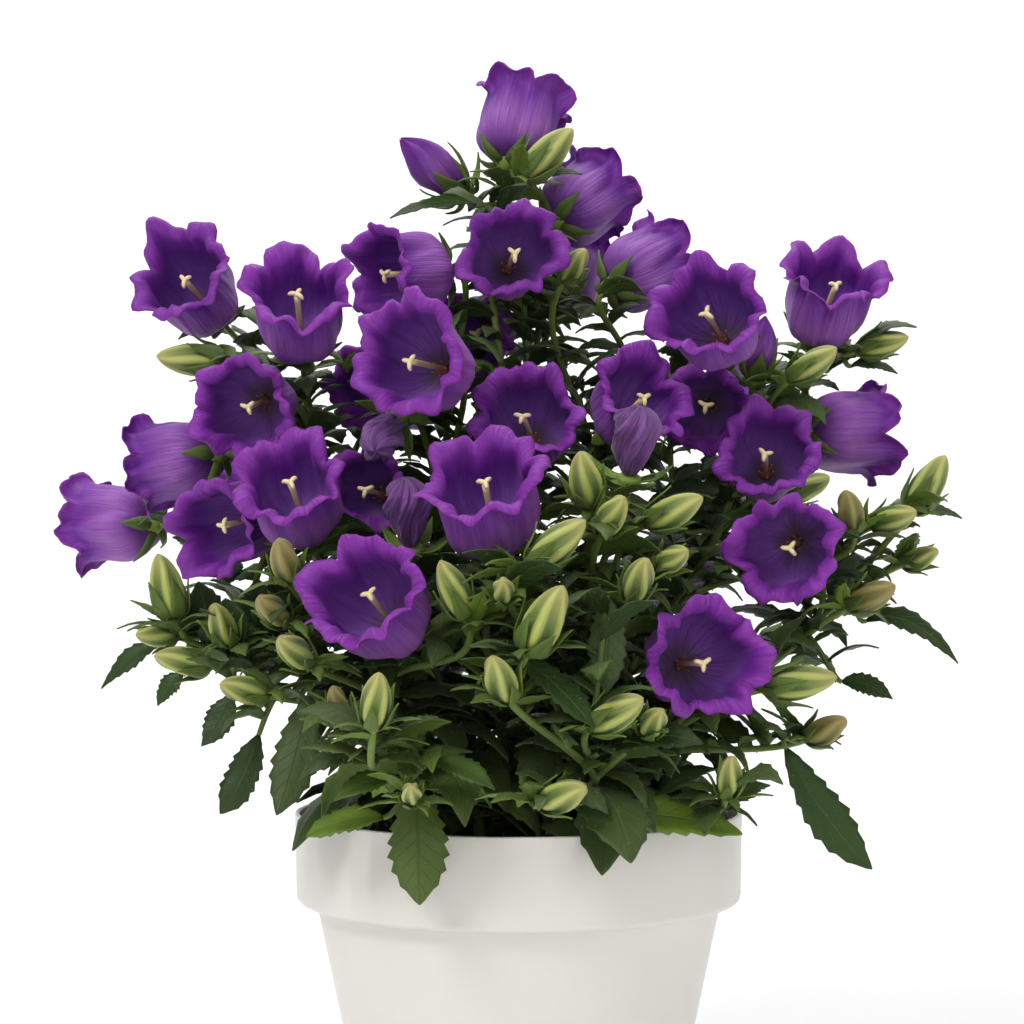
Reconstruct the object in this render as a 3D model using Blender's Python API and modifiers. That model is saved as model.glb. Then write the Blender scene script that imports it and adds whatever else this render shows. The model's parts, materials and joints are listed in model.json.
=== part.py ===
"""Bell-flowered campanula in a plain standing pot with a wide lip.

The pot stands on its base at the origin, +Z is up and the viewer stands at -Y.
The tables give lengths in millimetres and angles in degrees, and MM turns a length
into the metres of the meshes. An azimuth of 0 faces the viewer, 90 faces +X.
"""

import math
import random
from dataclasses import dataclass

import bmesh
import bpy
from mathutils import Matrix, Vector
from mathutils.bvhtree import BVHTree

COLLECTION = "potted_campanula"
CUTTERS = "cutters"
MM = 0.001
MERGE = 0.0001
SHORT_EDGES = (0.16, 0.12, 0.09, 0.06, 0.04, 0.02, 0.01, 0.003, 0.0)
TOUCHING = 0.001
SEED = 11

# Pot
POT_HEIGHT = 130.0
RIM_RADIUS = 85.0
LIP_DEPTH = 33.0
LIP_TAPER = 0.7
BODY_TOP_RADIUS = 77.0
BASE_RADIUS = 56.0
WALL = 1.8
FLOOR = 2.4
RIM_ROUND = 1.0
TURN_STEPS = 26
SOIL_STEPS = 13
DRAIN_COUNT = 4
DRAIN_RADIUS = 4.0
DRAIN_CIRCLE = 36.0

# Soil
GAP = 0.3
SOIL_EDGE_BELOW_RIM = 11.0
SOIL_DOME = 3.0
HOLE_DEPTH = 14.0
HOLE_RADIUS = 3.6

# Bell flower, for a mouth 48 mm wide
BELL_LENGTH = 36.0
BELL_WIDTH = 48.0
BELL_WALL = 0.7
LOBES = 5
SEAT_RADIUS = 2.6
BELL_FOOT = (0.08, 10.5)
BELL_RINGS = ((0.45, 15.0), (0.78, 17.0))
LOBE_SHOULDER = (0.95, 20.5)
LOBE_TIP = (1.0, 24.0)
SHOULDER_ANGLE = 13.0
RIB = 0.6
PISTIL_LENGTH = 27.0
PISTIL_RADIUS = 1.1
STIGMA_SPREAD = 2.4

# Stalks, calyx and buds
STEM_RADIUS = 2.2
STEM_TOP_RADIUS = 1.3
STALK_RADIUS = 1.2
STEM_SEGMENTS = 4
STEM_SIDES = 4
STALK_SIDES = 3
SHORT_STALK = 24.0
CALYX_RADIUS = 4.4
CALYX_DEPTH = 4.0
SEPAL_REACH = 15.0
SEPAL_RISE = 3.6
BUD_LENGTH = 24.0
BUD_RADIUS = 6.4
CLEARANCE = 0.9

# Leaves
LEAF_THICKNESS = 0.7
LEAF_OUTLINE = ((0.0, 0.10), (0.24, 0.80), (0.50, 1.0), (0.76, 0.56))
BROAD_OUTLINE = ((0.0, 0.08), (0.20, 0.74), (0.32, 0.62), (0.46, 1.0), (0.62, 0.74), (0.76, 0.72))

GOLDEN_ANGLE = 137.5


@dataclass(frozen=True)
class Bloom:
    """A bell: where the middle of its mouth is, which way it faces and how wide it is."""

    name: str
    stem: str
    mouth: tuple
    azimuth: float
    elevation: float
    width: float = BELL_WIDTH
    kind: str = "open"


@dataclass(frozen=True)
class Bud:
    """A bud: where its stalk ends, which way it points and how large it is beside a full one."""

    stem: str
    base: tuple
    azimuth: float
    elevation: float
    size: float = 1.0


@dataclass(frozen=True)
class Stem:
    """A leafy stem: its hole in the soil, its top, the number of its leaves and their length."""

    name: str
    hole: tuple
    top: tuple
    leaves: int
    leaf_length: float


@dataclass(frozen=True)
class Leaf:
    """A broad leaf set by hand: its root, azimuth, rise and droop, length and width."""

    stem: str
    azimuth: float
    rise: float
    droop: float
    length: float
    width: float
    height: float


STEMS = (
    Stem("centre_tall", (-4, 6), (-5, 2, 344), 3, 36),
    Stem("top_right", (12, 2), (44, 4, 306), 2, 36),
    Stem("top_left", (-12, -2), (-28, -14, 266), 2, 34),
    Stem("left_high", (-22, 2), (-84, -2, 286), 3, 36),
    Stem("left_middle", (-28, -10), (-88, -16, 250), 3, 36),
    Stem("far_left", (-36, 4), (-112, 2, 214), 3, 38),
    Stem("front_left", (-26, -24), (-54, -78, 196), 3, 36),
    Stem("front_young", (-14, -38), (-38, -98, 156), 3, 34),
    Stem("centre_front", (-4, -22), (-14, -62, 222), 2, 34),
    Stem("centre_right", (8, -28), (24, -82, 212), 2, 34),
    Stem("right_high", (22, 10), (94, 6, 280), 3, 38),
    Stem("right_middle", (24, -6), (82, -8, 248), 2, 36),
    Stem("far_right", (36, -8), (116, -14, 206), 3, 38),
    Stem("lower_right", (28, -26), (60, -62, 172), 2, 40),
    Stem("front_right", (10, -42), (26, -98, 152), 2, 36),
    Stem("back_left", (-20, 24), (-66, 50, 248), 3, 38),
    Stem("back_middle", (0, 28), (-4, 58, 282), 3, 38),
    Stem("back_right", (22, 24), (64, 54, 244), 3, 38),
)

BLOOMS = (
    Bloom("bloom_top", "centre_tall", (4, 8, 410), 147, 64, 46),
    Bloom("bloom_top_front", "centre_tall", (-2, -62, 336), 4, 6, 44),
    Bloom("bloom_opening_top", "centre_tall", (-45, -16, 385), -53, 30, 22, "opening"),
    Bloom("bloom_top_right", "centre_tall", (35, 32, 376), 138, 31, 46),
    Bloom("bloom_right_behind", "top_right", (60, 2, 344), 126, 27, 44),
    Bloom("bloom_left_high", "left_high", (-127, -38, 334), -18, 23, 48),
    Bloom("bloom_left_upright", "left_high", (-79, -62, 325), 2, 38, 48),
    Bloom("bloom_left_of_centre", "top_left", (-55, -48, 327), -51, -9, 46),
    Bloom("bloom_large_left", "top_left", (-41, -97, 294), -24, 4, 50),
    Bloom("bloom_centre", "centre_front", (2, -70, 278), -6, 18, 46),
    Bloom("bloom_centre_low", "centre_front", (-13, -118, 256), -11, 45, 50),
    Bloom("bloom_right_of_centre", "top_right", (47, -58, 286), 21, 20, 44),
    Bloom("bloom_right_upper", "top_right", (64, -76, 314), -18, 16, 48),
    Bloom("bloom_right_high", "right_high", (120, -20, 337), 8, 43, 48),
    Bloom("bloom_right_dark", "right_middle", (69, -34, 280), -9, -10, 40),
    Bloom("bloom_right_middle", "right_middle", (89, -58, 266), -5, 17, 44),
    Bloom("bloom_right_side", "right_middle", (143, 10, 275), 114, 1, 46),
    Bloom("bloom_left_side", "far_left", (-173, 20, 240), -117, 1, 46),
    Bloom("bloom_left_outer", "left_middle", (-142, -16, 260), -117, -7, 44),
    Bloom("bloom_left_front", "left_middle", (-99, -64, 277), -9, -12, 46),
    Bloom("bloom_left_up_front", "left_middle", (-79, -94, 256), -9, 38, 46),
    Bloom("bloom_left_hanging", "far_left", (-110, -70, 234), -31, -12, 44),
    Bloom("bloom_dark_left", "centre_front", (-56, -46, 251), -10, 3, 38),
    Bloom("bloom_front_low", "front_left", (-54, -125, 216), -23, 24, 50),
    Bloom("bloom_right_low", "far_right", (89, -90, 227), -17, -7, 46),
    Bloom("bloom_front_right", "lower_right", (63, -112, 192), 12, 6, 50),
    Bloom("bloom_behind_left", "top_left", (-21, -12, 309), -25, -20, 40),
    Bloom("bloom_left_inner", "left_high", (-60, -12, 290), -20, -16, 40),
    Bloom("bloom_opening_right", "right_high", (91, -34, 315), 13, 61, 16, "opening"),
    Bloom("bloom_withered_front", "centre_front", (-39, -94, 252), -10, 64, 14, "withered"),
    Bloom("bloom_withered_right", "centre_right", (40, -98, 276), 12, 63, 14, "withered"),
    Bloom("bloom_withered_left", "top_left", (-50, -76, 262), -15, -30, 14, "withered"),
    Bloom("bloom_back_top", "back_middle", (22, 62, 350), 170, 35, 46),
    Bloom("bloom_back_left_high", "back_left", (-55, 88, 302), -165, 18, 48),
    Bloom("bloom_back_right_high", "back_right", (92, 72, 292), 140, 15, 48),
    Bloom("bloom_back_left_side", "back_left", (-114, 56, 258), -130, 5, 46),
    Bloom("bloom_back_middle", "back_middle", (-12, 112, 256), -175, 12, 48),
    Bloom("bloom_back_right_low", "back_right", (70, 106, 222), 155, 8, 46),
    Bloom("bloom_back_left_low", "back_left", (-70, 104, 208), -155, 5, 46),
)

BUDS = (
    Bud("centre_tall", (2, -20, 370), 80, 42, 1.05),
    Bud("top_right", (17, -40, 328), 29, 30, 0.7),
    Bud("right_high", (101, -34, 292), 54, 29, 0.85),
    Bud("right_high", (132, -2, 306), 60, 12, 0.8),
    Bud("far_right", (148, -16, 244), 80, 58, 1.0),
    Bud("right_middle", (123, -35, 237), -22, 41, 0.8),
    Bud("far_right", (133, -25, 238), 40, 14, 0.8),
    Bud("far_right", (122, -35, 208), 45, 22, 0.85),
    Bud("lower_right", (86, -75, 180), 80, 10, 1.0),
    Bud("lower_right", (103, -60, 162), 34, 22, 0.8),
    Bud("centre_right", (23, -100, 244), -11, 45, 0.9),
    Bud("centre_right", (44, -95, 237), 56, 21, 0.9),
    Bud("centre_right", (4, -120, 222), 80, 40, 0.95),
    Bud("centre_right", (37, -110, 212), 15, 39, 0.8),
    Bud("centre_right", (3, -128, 195), 46, 54, 1.05),
    Bud("front_left", (-18, -112, 206), -50, 60, 0.85),
    Bud("front_right", (-4, -125, 180), -19, 40, 0.85),
    Bud("front_left", (-46, -138, 172), 14, 60, 0.8),
    Bud("front_left", (-77, -98, 218), -8, 42, 0.8),
    Bud("front_left", (-71, -100, 190), -25, 26, 0.8),
    Bud("far_left", (-125, -40, 204), -90, 74, 1.0),
    Bud("far_left", (-112, -48, 187), -60, 10, 0.85),
    Bud("left_high", (-110, -30, 298), -80, 5, 1.0),
    Bud("front_right", (24, -118, 170), 52, 27, 0.9),
    Bud("front_right", (8, -122, 146), 41, 17, 0.85),
    Bud("back_middle", (14, 92, 284), 150, 40, 0.9),
    Bud("back_right", (112, 60, 252), 110, 25, 0.9),
    Bud("back_left", (-92, 78, 236), -140, 35, 0.9),
    Bud("back_middle", (20, 112, 200), 165, 30, 0.8),
    Bud("back_right", (104, 78, 190), 130, 20, 0.85),
)

BROAD_LEAVES = (
    Leaf("front_young", -4, 25, 115, 66, 20, 140),
    Leaf("front_right", 38, 20, 62, 62, 22, 138),
    Leaf("front_young", -52, 25, 60, 56, 20, 136),
    Leaf("lower_right", 48, 25, 80, 62, 22, 150),
    Leaf("front_left", -34, 20, 85, 64, 20, 148),
    Leaf("front_right", -6, 30, 70, 52, 20, 146),
    Leaf("back_middle", 178, 25, 95, 66, 22, 150),
    Leaf("back_left", -128, 25, 90, 62, 22, 150),
    Leaf("back_right", 128, 25, 90, 62, 22, 150),
)

PETAL = ("petal_violet", (0.150, 0.030, 0.330), 0.55)
SPENT = ("petal_spent", (0.120, 0.035, 0.200), 0.75)
PISTIL = ("pistil_cream", (0.640, 0.480, 0.160), 0.60)
GREEN = ("foliage_green", (0.075, 0.150, 0.030), 0.60)
PLASTIC = ("pot_plastic", (0.760, 0.730, 0.670), 0.35)
EARTH = ("soil_dark", (0.018, 0.012, 0.008), 0.95)


def clear_scene():
    """Remove whatever the open file holds."""
    for item in list(bpy.data.objects):
        bpy.data.objects.remove(item, do_unlink=True)


def new_collection(name):
    """A collection linked to the scene."""
    collection = bpy.data.collections.new(name)
    bpy.context.scene.collection.children.link(collection)
    return collection


def material(name, colour, roughness):
    """A Principled BSDF material, made once for each name."""
    made = bpy.data.materials.get(name) or bpy.data.materials.new(name)
    made.use_nodes = True
    shader = made.node_tree.nodes["Principled BSDF"]
    shader.inputs["Base Color"].default_value = (*colour, 1.0)
    shader.inputs["Roughness"].default_value = roughness
    shader.inputs["Metallic"].default_value = 0.0
    return made


def new_object(name, mesh, collection):
    """An object that holds the mesh, linked to the collection."""
    item = bpy.data.objects.new(name, mesh)
    collection.objects.link(item)
    return item


def applied(item):
    """A plain mesh of an object with its modifiers applied."""
    graph = bpy.context.evaluated_depsgraph_get()
    graph.update()
    return bpy.data.meshes.new_from_object(item.evaluated_get(graph))


def direction(azimuth, elevation):
    """The unit vector of an azimuth and an elevation."""
    turn = math.radians(azimuth)
    rise = math.radians(elevation)
    return Vector(
        (
            math.sin(turn) * math.cos(rise),
            -math.cos(turn) * math.cos(rise),
            math.sin(rise),
        )
    )


def aim(origin, axis, roll=0.0):
    """The matrix that stands local +Z on the axis at the origin."""
    turn = axis.to_track_quat("Z", "Y").to_matrix().to_4x4()
    return Matrix.Translation(origin) @ turn @ Matrix.Rotation(roll, 4, "Z")


def circle(count, radius, height, phase=0.0, groove=None):
    """A level ring of points, with every second one at the groove's radius where it is given."""
    ring = []
    for step in range(count):
        turn = phase + math.tau * step / count
        reach = groove if groove is not None and step % 2 else radius
        ring.append(Vector((reach * math.cos(turn), reach * math.sin(turn), height)))
    return ring


class Surface:
    """Points and triangles, gathered ring by ring."""

    def __init__(self):
        self.points = []
        self.faces = []

    def add(self, ring):
        """Store a ring's points and return their numbers."""
        first = len(self.points)
        self.points.extend(ring)
        return list(range(first, len(self.points)))

    def centre(self, ring):
        """The middle of a ring's points."""
        return sum((self.points[number] for number in ring), Vector()) / len(ring)

    def bridge(self, lower, upper):
        """Fill the band between two closed rings, which may differ in their counts."""
        start = self.points[lower[0]] - self.centre(lower) + self.centre(upper)
        nearest = min(range(len(upper)), key=lambda step: (self.points[upper[step]] - start).length)
        upper = upper[nearest:] + upper[:nearest]
        low = 0
        high = 0
        while low < len(lower) or high < len(upper):
            here = lower[low % len(lower)]
            there = upper[high % len(upper)]
            low_next = (low + 1) / len(lower)
            high_next = (high + 1) / len(upper)
            if high >= len(upper) or (low < len(lower) and low_next <= high_next):
                if len(lower) > 1:
                    self.faces.append((here, lower[(low + 1) % len(lower)], there))
                low += 1
            else:
                if len(upper) > 1:
                    self.faces.append((here, upper[(high + 1) % len(upper)], there))
                high += 1

    def cap(self, ring, upward):
        """Close a ring with a fan."""
        for step in range(1, len(ring) - 1):
            face = (ring[0], ring[step], ring[step + 1])
            self.faces.append(face if upward else face[::-1])

    def moved(self, matrix):
        """The same surface in another place."""
        result = Surface()
        result.points = [matrix @ point for point in self.points]
        result.faces = list(self.faces)
        return result

    def mesh(self, name):
        """A Blender mesh in metres."""
        mesh = bpy.data.meshes.new(name)
        mesh.from_pydata([point * MM for point in self.points], [], self.faces)
        return mesh


def thickened(surface, thickness):
    """The surface as a closed shell that grows to the side its faces look away from."""
    mesh = bmesh.new()
    corners = [mesh.verts.new(point) for point in surface.points]
    for face in surface.faces:
        mesh.faces.new([corners[corner] for corner in face])
    mesh.normal_update()
    bmesh.ops.solidify(mesh, geom=mesh.faces[:], thickness=thickness)
    bmesh.ops.triangulate(mesh, faces=mesh.faces[:])
    bmesh.ops.recalc_face_normals(mesh, faces=mesh.faces)
    mesh.verts.index_update()
    result = Surface()
    result.points = [corner.co.copy() for corner in mesh.verts]
    result.faces = [tuple(corner.index for corner in face.verts) for face in mesh.faces]
    mesh.free()
    return result


def curve_points(start, first, second, end, count):
    """Points along a cubic Bezier curve."""
    points = []
    for step in range(count + 1):
        t = step / count
        s = 1.0 - t
        points.append(start * s**3 + first * 3 * s * s * t + second * 3 * s * t * t + end * t**3)
    return points


def tube_rings(surface, points, radii, sides):
    """Rings of a tube along the points, bridged one to the next; returns the last ring."""
    tangent = (points[1] - points[0]).normalized()
    side = tangent.orthogonal().normalized()
    last = None
    for step, point in enumerate(points):
        before = points[max(step - 1, 0)]
        after = points[min(step + 1, len(points) - 1)]
        tangent = (after - before).normalized()
        side = (side - tangent * side.dot(tangent)).normalized()
        across = tangent.cross(side)
        ring = []
        for corner in range(sides):
            turn = math.tau * corner / sides
            ring.append(point + (side * math.cos(turn) + across * math.sin(turn)) * radii[step])
        numbers = surface.add(ring)
        if last is None:
            surface.cap(numbers, upward=False)
        else:
            surface.bridge(last, numbers)
        last = numbers
    return last


def turned(name, profile, steps, collection):
    """A turned body: a profile of radius and height that a Screw modifier sweeps round Z."""
    mesh = bpy.data.meshes.new(name)
    points = [(radius * MM, 0.0, height * MM) for radius, height in profile]
    mesh.from_pydata(points, [(i, i + 1) for i in range(len(points) - 1)], [])
    item = new_object(name, mesh, collection)
    screw = item.modifiers.new("turn", "SCREW")
    screw.steps = steps
    screw.render_steps = steps
    screw.use_merge_vertices = True
    screw.merge_threshold = MERGE
    return item


def bored(item, cutters):
    """Cut the item with every cylinder of a collection."""
    cut = item.modifiers.new("holes", "BOOLEAN")
    cut.operation = "DIFFERENCE"
    cut.operand_type = "COLLECTION"
    cut.collection = cutters
    cut.solver = "EXACT"


def cutter(name, place, radius, low, high, sides, collection):
    """An upright cylinder that only cuts."""
    bpy.ops.mesh.primitive_cylinder_add(
        vertices=sides,
        radius=radius * MM,
        depth=(high - low) * MM,
        location=(place[0] * MM, place[1] * MM, (low + high) / 2 * MM),
    )
    item = bpy.context.object
    item.name = name
    for owner in list(item.users_collection):
        owner.objects.unlink(item)
    collection.objects.link(item)
    item.hide_render = True
    item.display_type = "WIRE"


def lip_bottom_radius():
    """The lip's outer radius at its lower edge."""
    return RIM_RADIUS - LIP_TAPER


def body_radius(height):
    """The outer radius of the body under the lip."""
    rise = height / (POT_HEIGHT - LIP_DEPTH)
    return BASE_RADIUS + (BODY_TOP_RADIUS - BASE_RADIUS) * rise


def make_pot(collection, cutters):
    """The pot with its wide lip and the drain holes in its floor."""
    ledge = POT_HEIGHT - LIP_DEPTH
    inner_lip = RIM_RADIUS - WALL
    profile = [
        (0.0, FLOOR),
        (body_radius(FLOOR) - WALL, FLOOR),
        (BODY_TOP_RADIUS - WALL, ledge + WALL),
        (inner_lip - LIP_TAPER, ledge + WALL),
        (inner_lip, POT_HEIGHT - RIM_ROUND),
        (RIM_RADIUS - WALL / 2, POT_HEIGHT),
        (RIM_RADIUS, POT_HEIGHT - RIM_ROUND),
        (lip_bottom_radius(), ledge + 2.5),
        (lip_bottom_radius() - 0.8, ledge + 0.7),
        (lip_bottom_radius() - 2.5, ledge),
        (BODY_TOP_RADIUS, ledge - 0.4),
        (BASE_RADIUS, 1.2),
        (BASE_RADIUS - 1.2, 0.0),
        (0.0, 0.0),
    ]
    pot = turned("pot", profile, TURN_STEPS, collection)
    holes = bpy.data.collections.new("drain_holes")
    cutters.children.link(holes)
    for step in range(DRAIN_COUNT):
        turn = math.tau * (step + 0.5) / DRAIN_COUNT
        place = (DRAIN_CIRCLE * math.cos(turn), DRAIN_CIRCLE * math.sin(turn))
        cutter(f"drain_hole_{step}", place, DRAIN_RADIUS, -2.0, FLOOR + 2.0, 8, holes)
    bored(pot, holes)
    finish(pot, PLASTIC)
    return pot


def soil_height(radius):
    """The height of the domed soil at a distance from the axis."""
    edge = POT_HEIGHT - SOIL_EDGE_BELOW_RIM
    reach = RIM_RADIUS - WALL - 1.0
    return edge + SOIL_DOME * max(0.0, 1.0 - (radius / reach) ** 2)


def make_soil(collection, cutters):
    """The soil, a domed body just clear of the pot, with a plain hole for each stem."""
    ledge = POT_HEIGHT - LIP_DEPTH + WALL
    body_top = BODY_TOP_RADIUS - WALL - GAP
    lip_inside = RIM_RADIUS - LIP_TAPER - WALL - GAP
    profile = [
        (0.0, soil_height(0.0)),
        (32.0, soil_height(32.0)),
        (60.0, soil_height(60.0)),
        (lip_inside, soil_height(lip_inside)),
        (lip_inside, ledge + GAP),
        (body_top, ledge + GAP),
        (body_radius(FLOOR) - WALL - GAP, FLOOR + GAP),
        (0.0, FLOOR + GAP),
    ]
    soil = turned("soil", profile, SOIL_STEPS, collection)
    holes = bpy.data.collections.new("stem_holes")
    cutters.children.link(holes)
    for stem in STEMS:
        low = stem_foot(stem).z - GAP
        cutter(f"hole_{stem.name}", stem.hole, HOLE_RADIUS, low, POT_HEIGHT, 4, holes)
    bored(soil, holes)
    finish(soil, EARTH)
    return soil


def finish(item, look):
    """Give an object its material and smooth shading."""
    item.data.materials.clear()
    item.data.materials.append(material(*look))
    for face in item.data.polygons:
        face.use_smooth = True


def bell_surface(width):
    """The outer face of an open bell in its own frame, seat at the origin and mouth up."""
    scale = width / BELL_WIDTH
    surface = Surface()
    columns = 2 * LOBES
    last = surface.add(circle(LOBES, SEAT_RADIUS, 0.0, math.pi / LOBES))
    surface.cap(last, upward=False)
    height, radius = BELL_FOOT
    foot = surface.add(circle(LOBES, radius * scale, height * BELL_LENGTH * scale, math.pi / LOBES))
    surface.bridge(last, foot)
    last = foot
    for height, radius in BELL_RINGS:
        ring = circle(columns, (radius - RIB) * scale, height * BELL_LENGTH * scale, 0.0, radius * scale)
        numbers = surface.add(ring)
        surface.bridge(last, numbers)
        last = numbers
    for lobe in range(LOBES):
        notch = last[2 * lobe]
        middle = last[2 * lobe + 1]
        following = last[(2 * lobe + 2) % columns]
        centre = math.tau * (2 * lobe + 1) / columns
        edge = []
        for offset, (height, radius) in (
            (-SHOULDER_ANGLE * 1.9, LOBE_SHOULDER),
            (0.0, LOBE_TIP),
            (SHOULDER_ANGLE * 1.9, LOBE_SHOULDER),
        ):
            turn = centre + math.radians(offset)
            reach = radius * scale
            rise = height * BELL_LENGTH * scale
            edge.append(Vector((reach * math.cos(turn), reach * math.sin(turn), rise)))
        left, tip, right = surface.add(edge)
        surface.faces.append((notch, middle, left))
        surface.faces.append((middle, tip, left))
        surface.faces.append((middle, right, tip))
        surface.faces.append((middle, following, right))
    return surface


def pistil_surface(scale):
    """The style with its three-armed stigma, rooted in the bell's floor."""
    surface = Surface()
    low = surface.add(circle(3, PISTIL_RADIUS, BELL_WALL / 2))
    surface.cap(low, upward=False)
    top = surface.add(circle(3, STIGMA_SPREAD, PISTIL_LENGTH * scale))
    surface.bridge(low, top)
    surface.cap(top, upward=True)
    return surface


def closed_bell_surface(width, length, narrowing):
    """A bell that is still furled, or has withered: ribbed and drawn together at its tip."""
    surface = Surface()
    radius = width / 2
    columns = 2 * LOBES
    last = surface.add(circle(LOBES, SEAT_RADIUS, 0.0, math.pi / LOBES))
    surface.cap(last, upward=False)
    for height, reach in ((0.2, 0.72), (0.62, 1.0), (0.86, narrowing)):
        ring = circle(columns, radius * reach * 0.74, height * length, 0.0, radius * reach)
        numbers = surface.add(ring)
        surface.bridge(last, numbers)
        last = numbers
    tip = surface.add([Vector((0.0, 0.0, length))])
    surface.bridge(last, tip)
    return surface


def bloom_length(bloom):
    """The distance from a bloom's seat to its mouth."""
    if bloom.kind == "withered":
        return 25.0
    if bloom.kind == "opening":
        return bloom.width * 1.5
    return BELL_LENGTH * bloom.width / BELL_WIDTH


def bloom_seat(bloom):
    """The place and the direction in which a bloom leaves its calyx."""
    axis = direction(bloom.azimuth, bloom.elevation)
    return Vector(bloom.mouth) - axis * bloom_length(bloom), axis


def bloom_solids(bloom):
    """The closed surfaces of a bloom in place, its bell first and its pistil after."""
    seat, axis = bloom_seat(bloom)
    roll = random.Random(f"{SEED}{bloom.name}").uniform(0.0, math.tau / LOBES)
    place = aim(seat, axis, roll)
    if bloom.kind == "opening":
        return [closed_bell_surface(bloom.width, bloom_length(bloom), 0.62).moved(place)]
    if bloom.kind == "withered":
        return [closed_bell_surface(bloom.width, bloom_length(bloom), 0.80).moved(place)]
    scale = bloom.width / BELL_WIDTH
    bell = thickened(bell_surface(bloom.width), BELL_WALL)
    return [bell.moved(place), pistil_surface(scale).moved(place)]


def calyx(surface, last, matrix, share):
    """A receptacle and five open sepals on the end of a stalk, in the frame of the matrix."""
    collar = surface.add(
        [matrix @ point for point in circle(LOBES, CALYX_RADIUS, -GAP - 1.6, math.pi / LOBES)]
    )
    surface.bridge(last, collar)
    inner = surface.add([matrix @ point for point in circle(LOBES, SEAT_RADIUS, -GAP, math.tau / LOBES)])
    tips = circle(LOBES, SEPAL_REACH * share, SEPAL_RISE * share, math.tau / LOBES)
    tips = surface.add([matrix @ point for point in tips])
    for step in range(LOBES):
        following = (step + 1) % LOBES
        left = collar[step]
        right = collar[following]
        surface.faces.append((left, right, tips[step]))
        surface.faces.append((right, inner[step], tips[step]))
        surface.faces.append((inner[step], left, tips[step]))
        surface.faces.append((right, inner[following], inner[step]))
    surface.cap(inner, upward=True)


def bud_head(surface, last, matrix, size):
    """A plump bud of five ridges under its pointed sepals, on the end of a stalk."""
    radius = BUD_RADIUS * size
    length = BUD_LENGTH * size
    bottom = circle(LOBES, radius * 0.6, length * 0.10, 0.0)
    middle = circle(2 * LOBES, radius, length * 0.42, 0.0, radius * 0.76)
    top = circle(LOBES, radius * 0.42, length * 0.80, 0.0)
    tip = [Vector((0.0, 0.0, length))]
    for ring in (bottom, middle, top, tip):
        numbers = surface.add([matrix @ point for point in ring])
        surface.bridge(last, numbers)
        last = numbers


def leaf_points(root, azimuth, rise, droop, length):
    """The midline of a leaf: it sets out at its rise and bends down by its droop."""
    steps = 10
    points = [root.copy()]
    for step in range(steps):
        angle = rise - droop * (step + 0.5) / steps
        points.append(points[-1] + direction(azimuth, angle) * (length / steps))
    return points


def along(points, share):
    """The point at a share of the way along an evenly spaced line."""
    place = share * (len(points) - 1)
    index = min(int(place), len(points) - 2)
    return points[index].lerp(points[index + 1], place - index)


def leaf_surface(points, azimuth, width, outline, fold):
    """The upper face of a leaf; a fold above 0 gives it a midrib lower than its edges."""
    across = direction(azimuth + 90.0, 0.0)
    surface = Surface()
    rows = []
    for share, reach in outline:
        middle = along(points, share)
        ahead = (along(points, min(share + 0.05, 1.0)) - along(points, max(share - 0.05, 0.0))).normalized()
        up = across.cross(ahead).normalized()
        half = across * (width / 2 * reach)
        lift = up * (fold * width / 2 * reach)
        row = [middle - half + lift, middle + half + lift]
        if fold:
            row.insert(1, middle)
        rows.append(surface.add(row))
    for lower, upper in zip(rows, rows[1:]):
        for step in range(len(lower) - 1):
            surface.faces.append((lower[step], lower[step + 1], upper[step + 1]))
            surface.faces.append((lower[step], upper[step + 1], upper[step]))
    tip = surface.add([points[-1]])[0]
    for step in range(len(rows[-1]) - 1):
        surface.faces.append((rows[-1][step], rows[-1][step + 1], tip))
    return surface


class Neighbours:
    """Everything that stands already, for finding a clear place for what comes next."""

    def __init__(self):
        self.trees = []

    def add(self, surface, owner):
        """Remember a surface under its owner's name."""
        tree = BVHTree.FromPolygons(surface.points, surface.faces)
        self.trees.append((tree, owner))

    def clear_line(self, points, reach, ignored=()):
        """True where no point of the line comes within reach of a surface."""
        for tree, owner in self.trees:
            if owner in ignored:
                continue
            if any(tree.find_nearest(point, reach)[0] for point in points):
                return False
        return True

    def clear_surface(self, surface, ignored=()):
        """True where the surface crosses no other."""
        own = BVHTree.FromPolygons(surface.points, surface.faces)
        for tree, owner in self.trees:
            if owner not in ignored and tree.overlap(own):
                return False
        return True


def densely(points, spacing=2.0):
    """The line with further points between its own."""
    result = []
    for here, there in zip(points, points[1:]):
        steps = max(1, int((there - here).length / spacing))
        result.extend(here.lerp(there, step / steps) for step in range(steps))
    result.append(points[-1])
    return result


def stem_foot(stem):
    """The place of a stem's lower end in its hole."""
    x, y = stem.hole
    return Vector((x, y, soil_height(math.hypot(x, y)) - HOLE_DEPTH))


def stem_routes(stem):
    """Routes for a stem, the straightest first."""
    foot = stem_foot(stem)
    collar = foot + Vector((0.0, 0.0, HOLE_DEPTH + 2.0))
    top = Vector(stem.top)
    height = top.z - foot.z
    outward = Vector((top.x - foot.x, top.y - foot.y, 0.0))
    for bend in (0.0, 6.0, 12.0, 18.0, 26.0, 34.0):
        for turn in range(8 if bend else 1):
            shift = direction(turn * 45.0, 0.0) * bend
            rise = collar + Vector((0.0, 0.0, max(24.0, height * 0.38)))
            bow = top - outward * 0.25 - Vector((0.0, 0.0, height * 0.35)) + shift
            yield [foot] + curve_points(collar, rise, bow, top, STEM_SEGMENTS)


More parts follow.
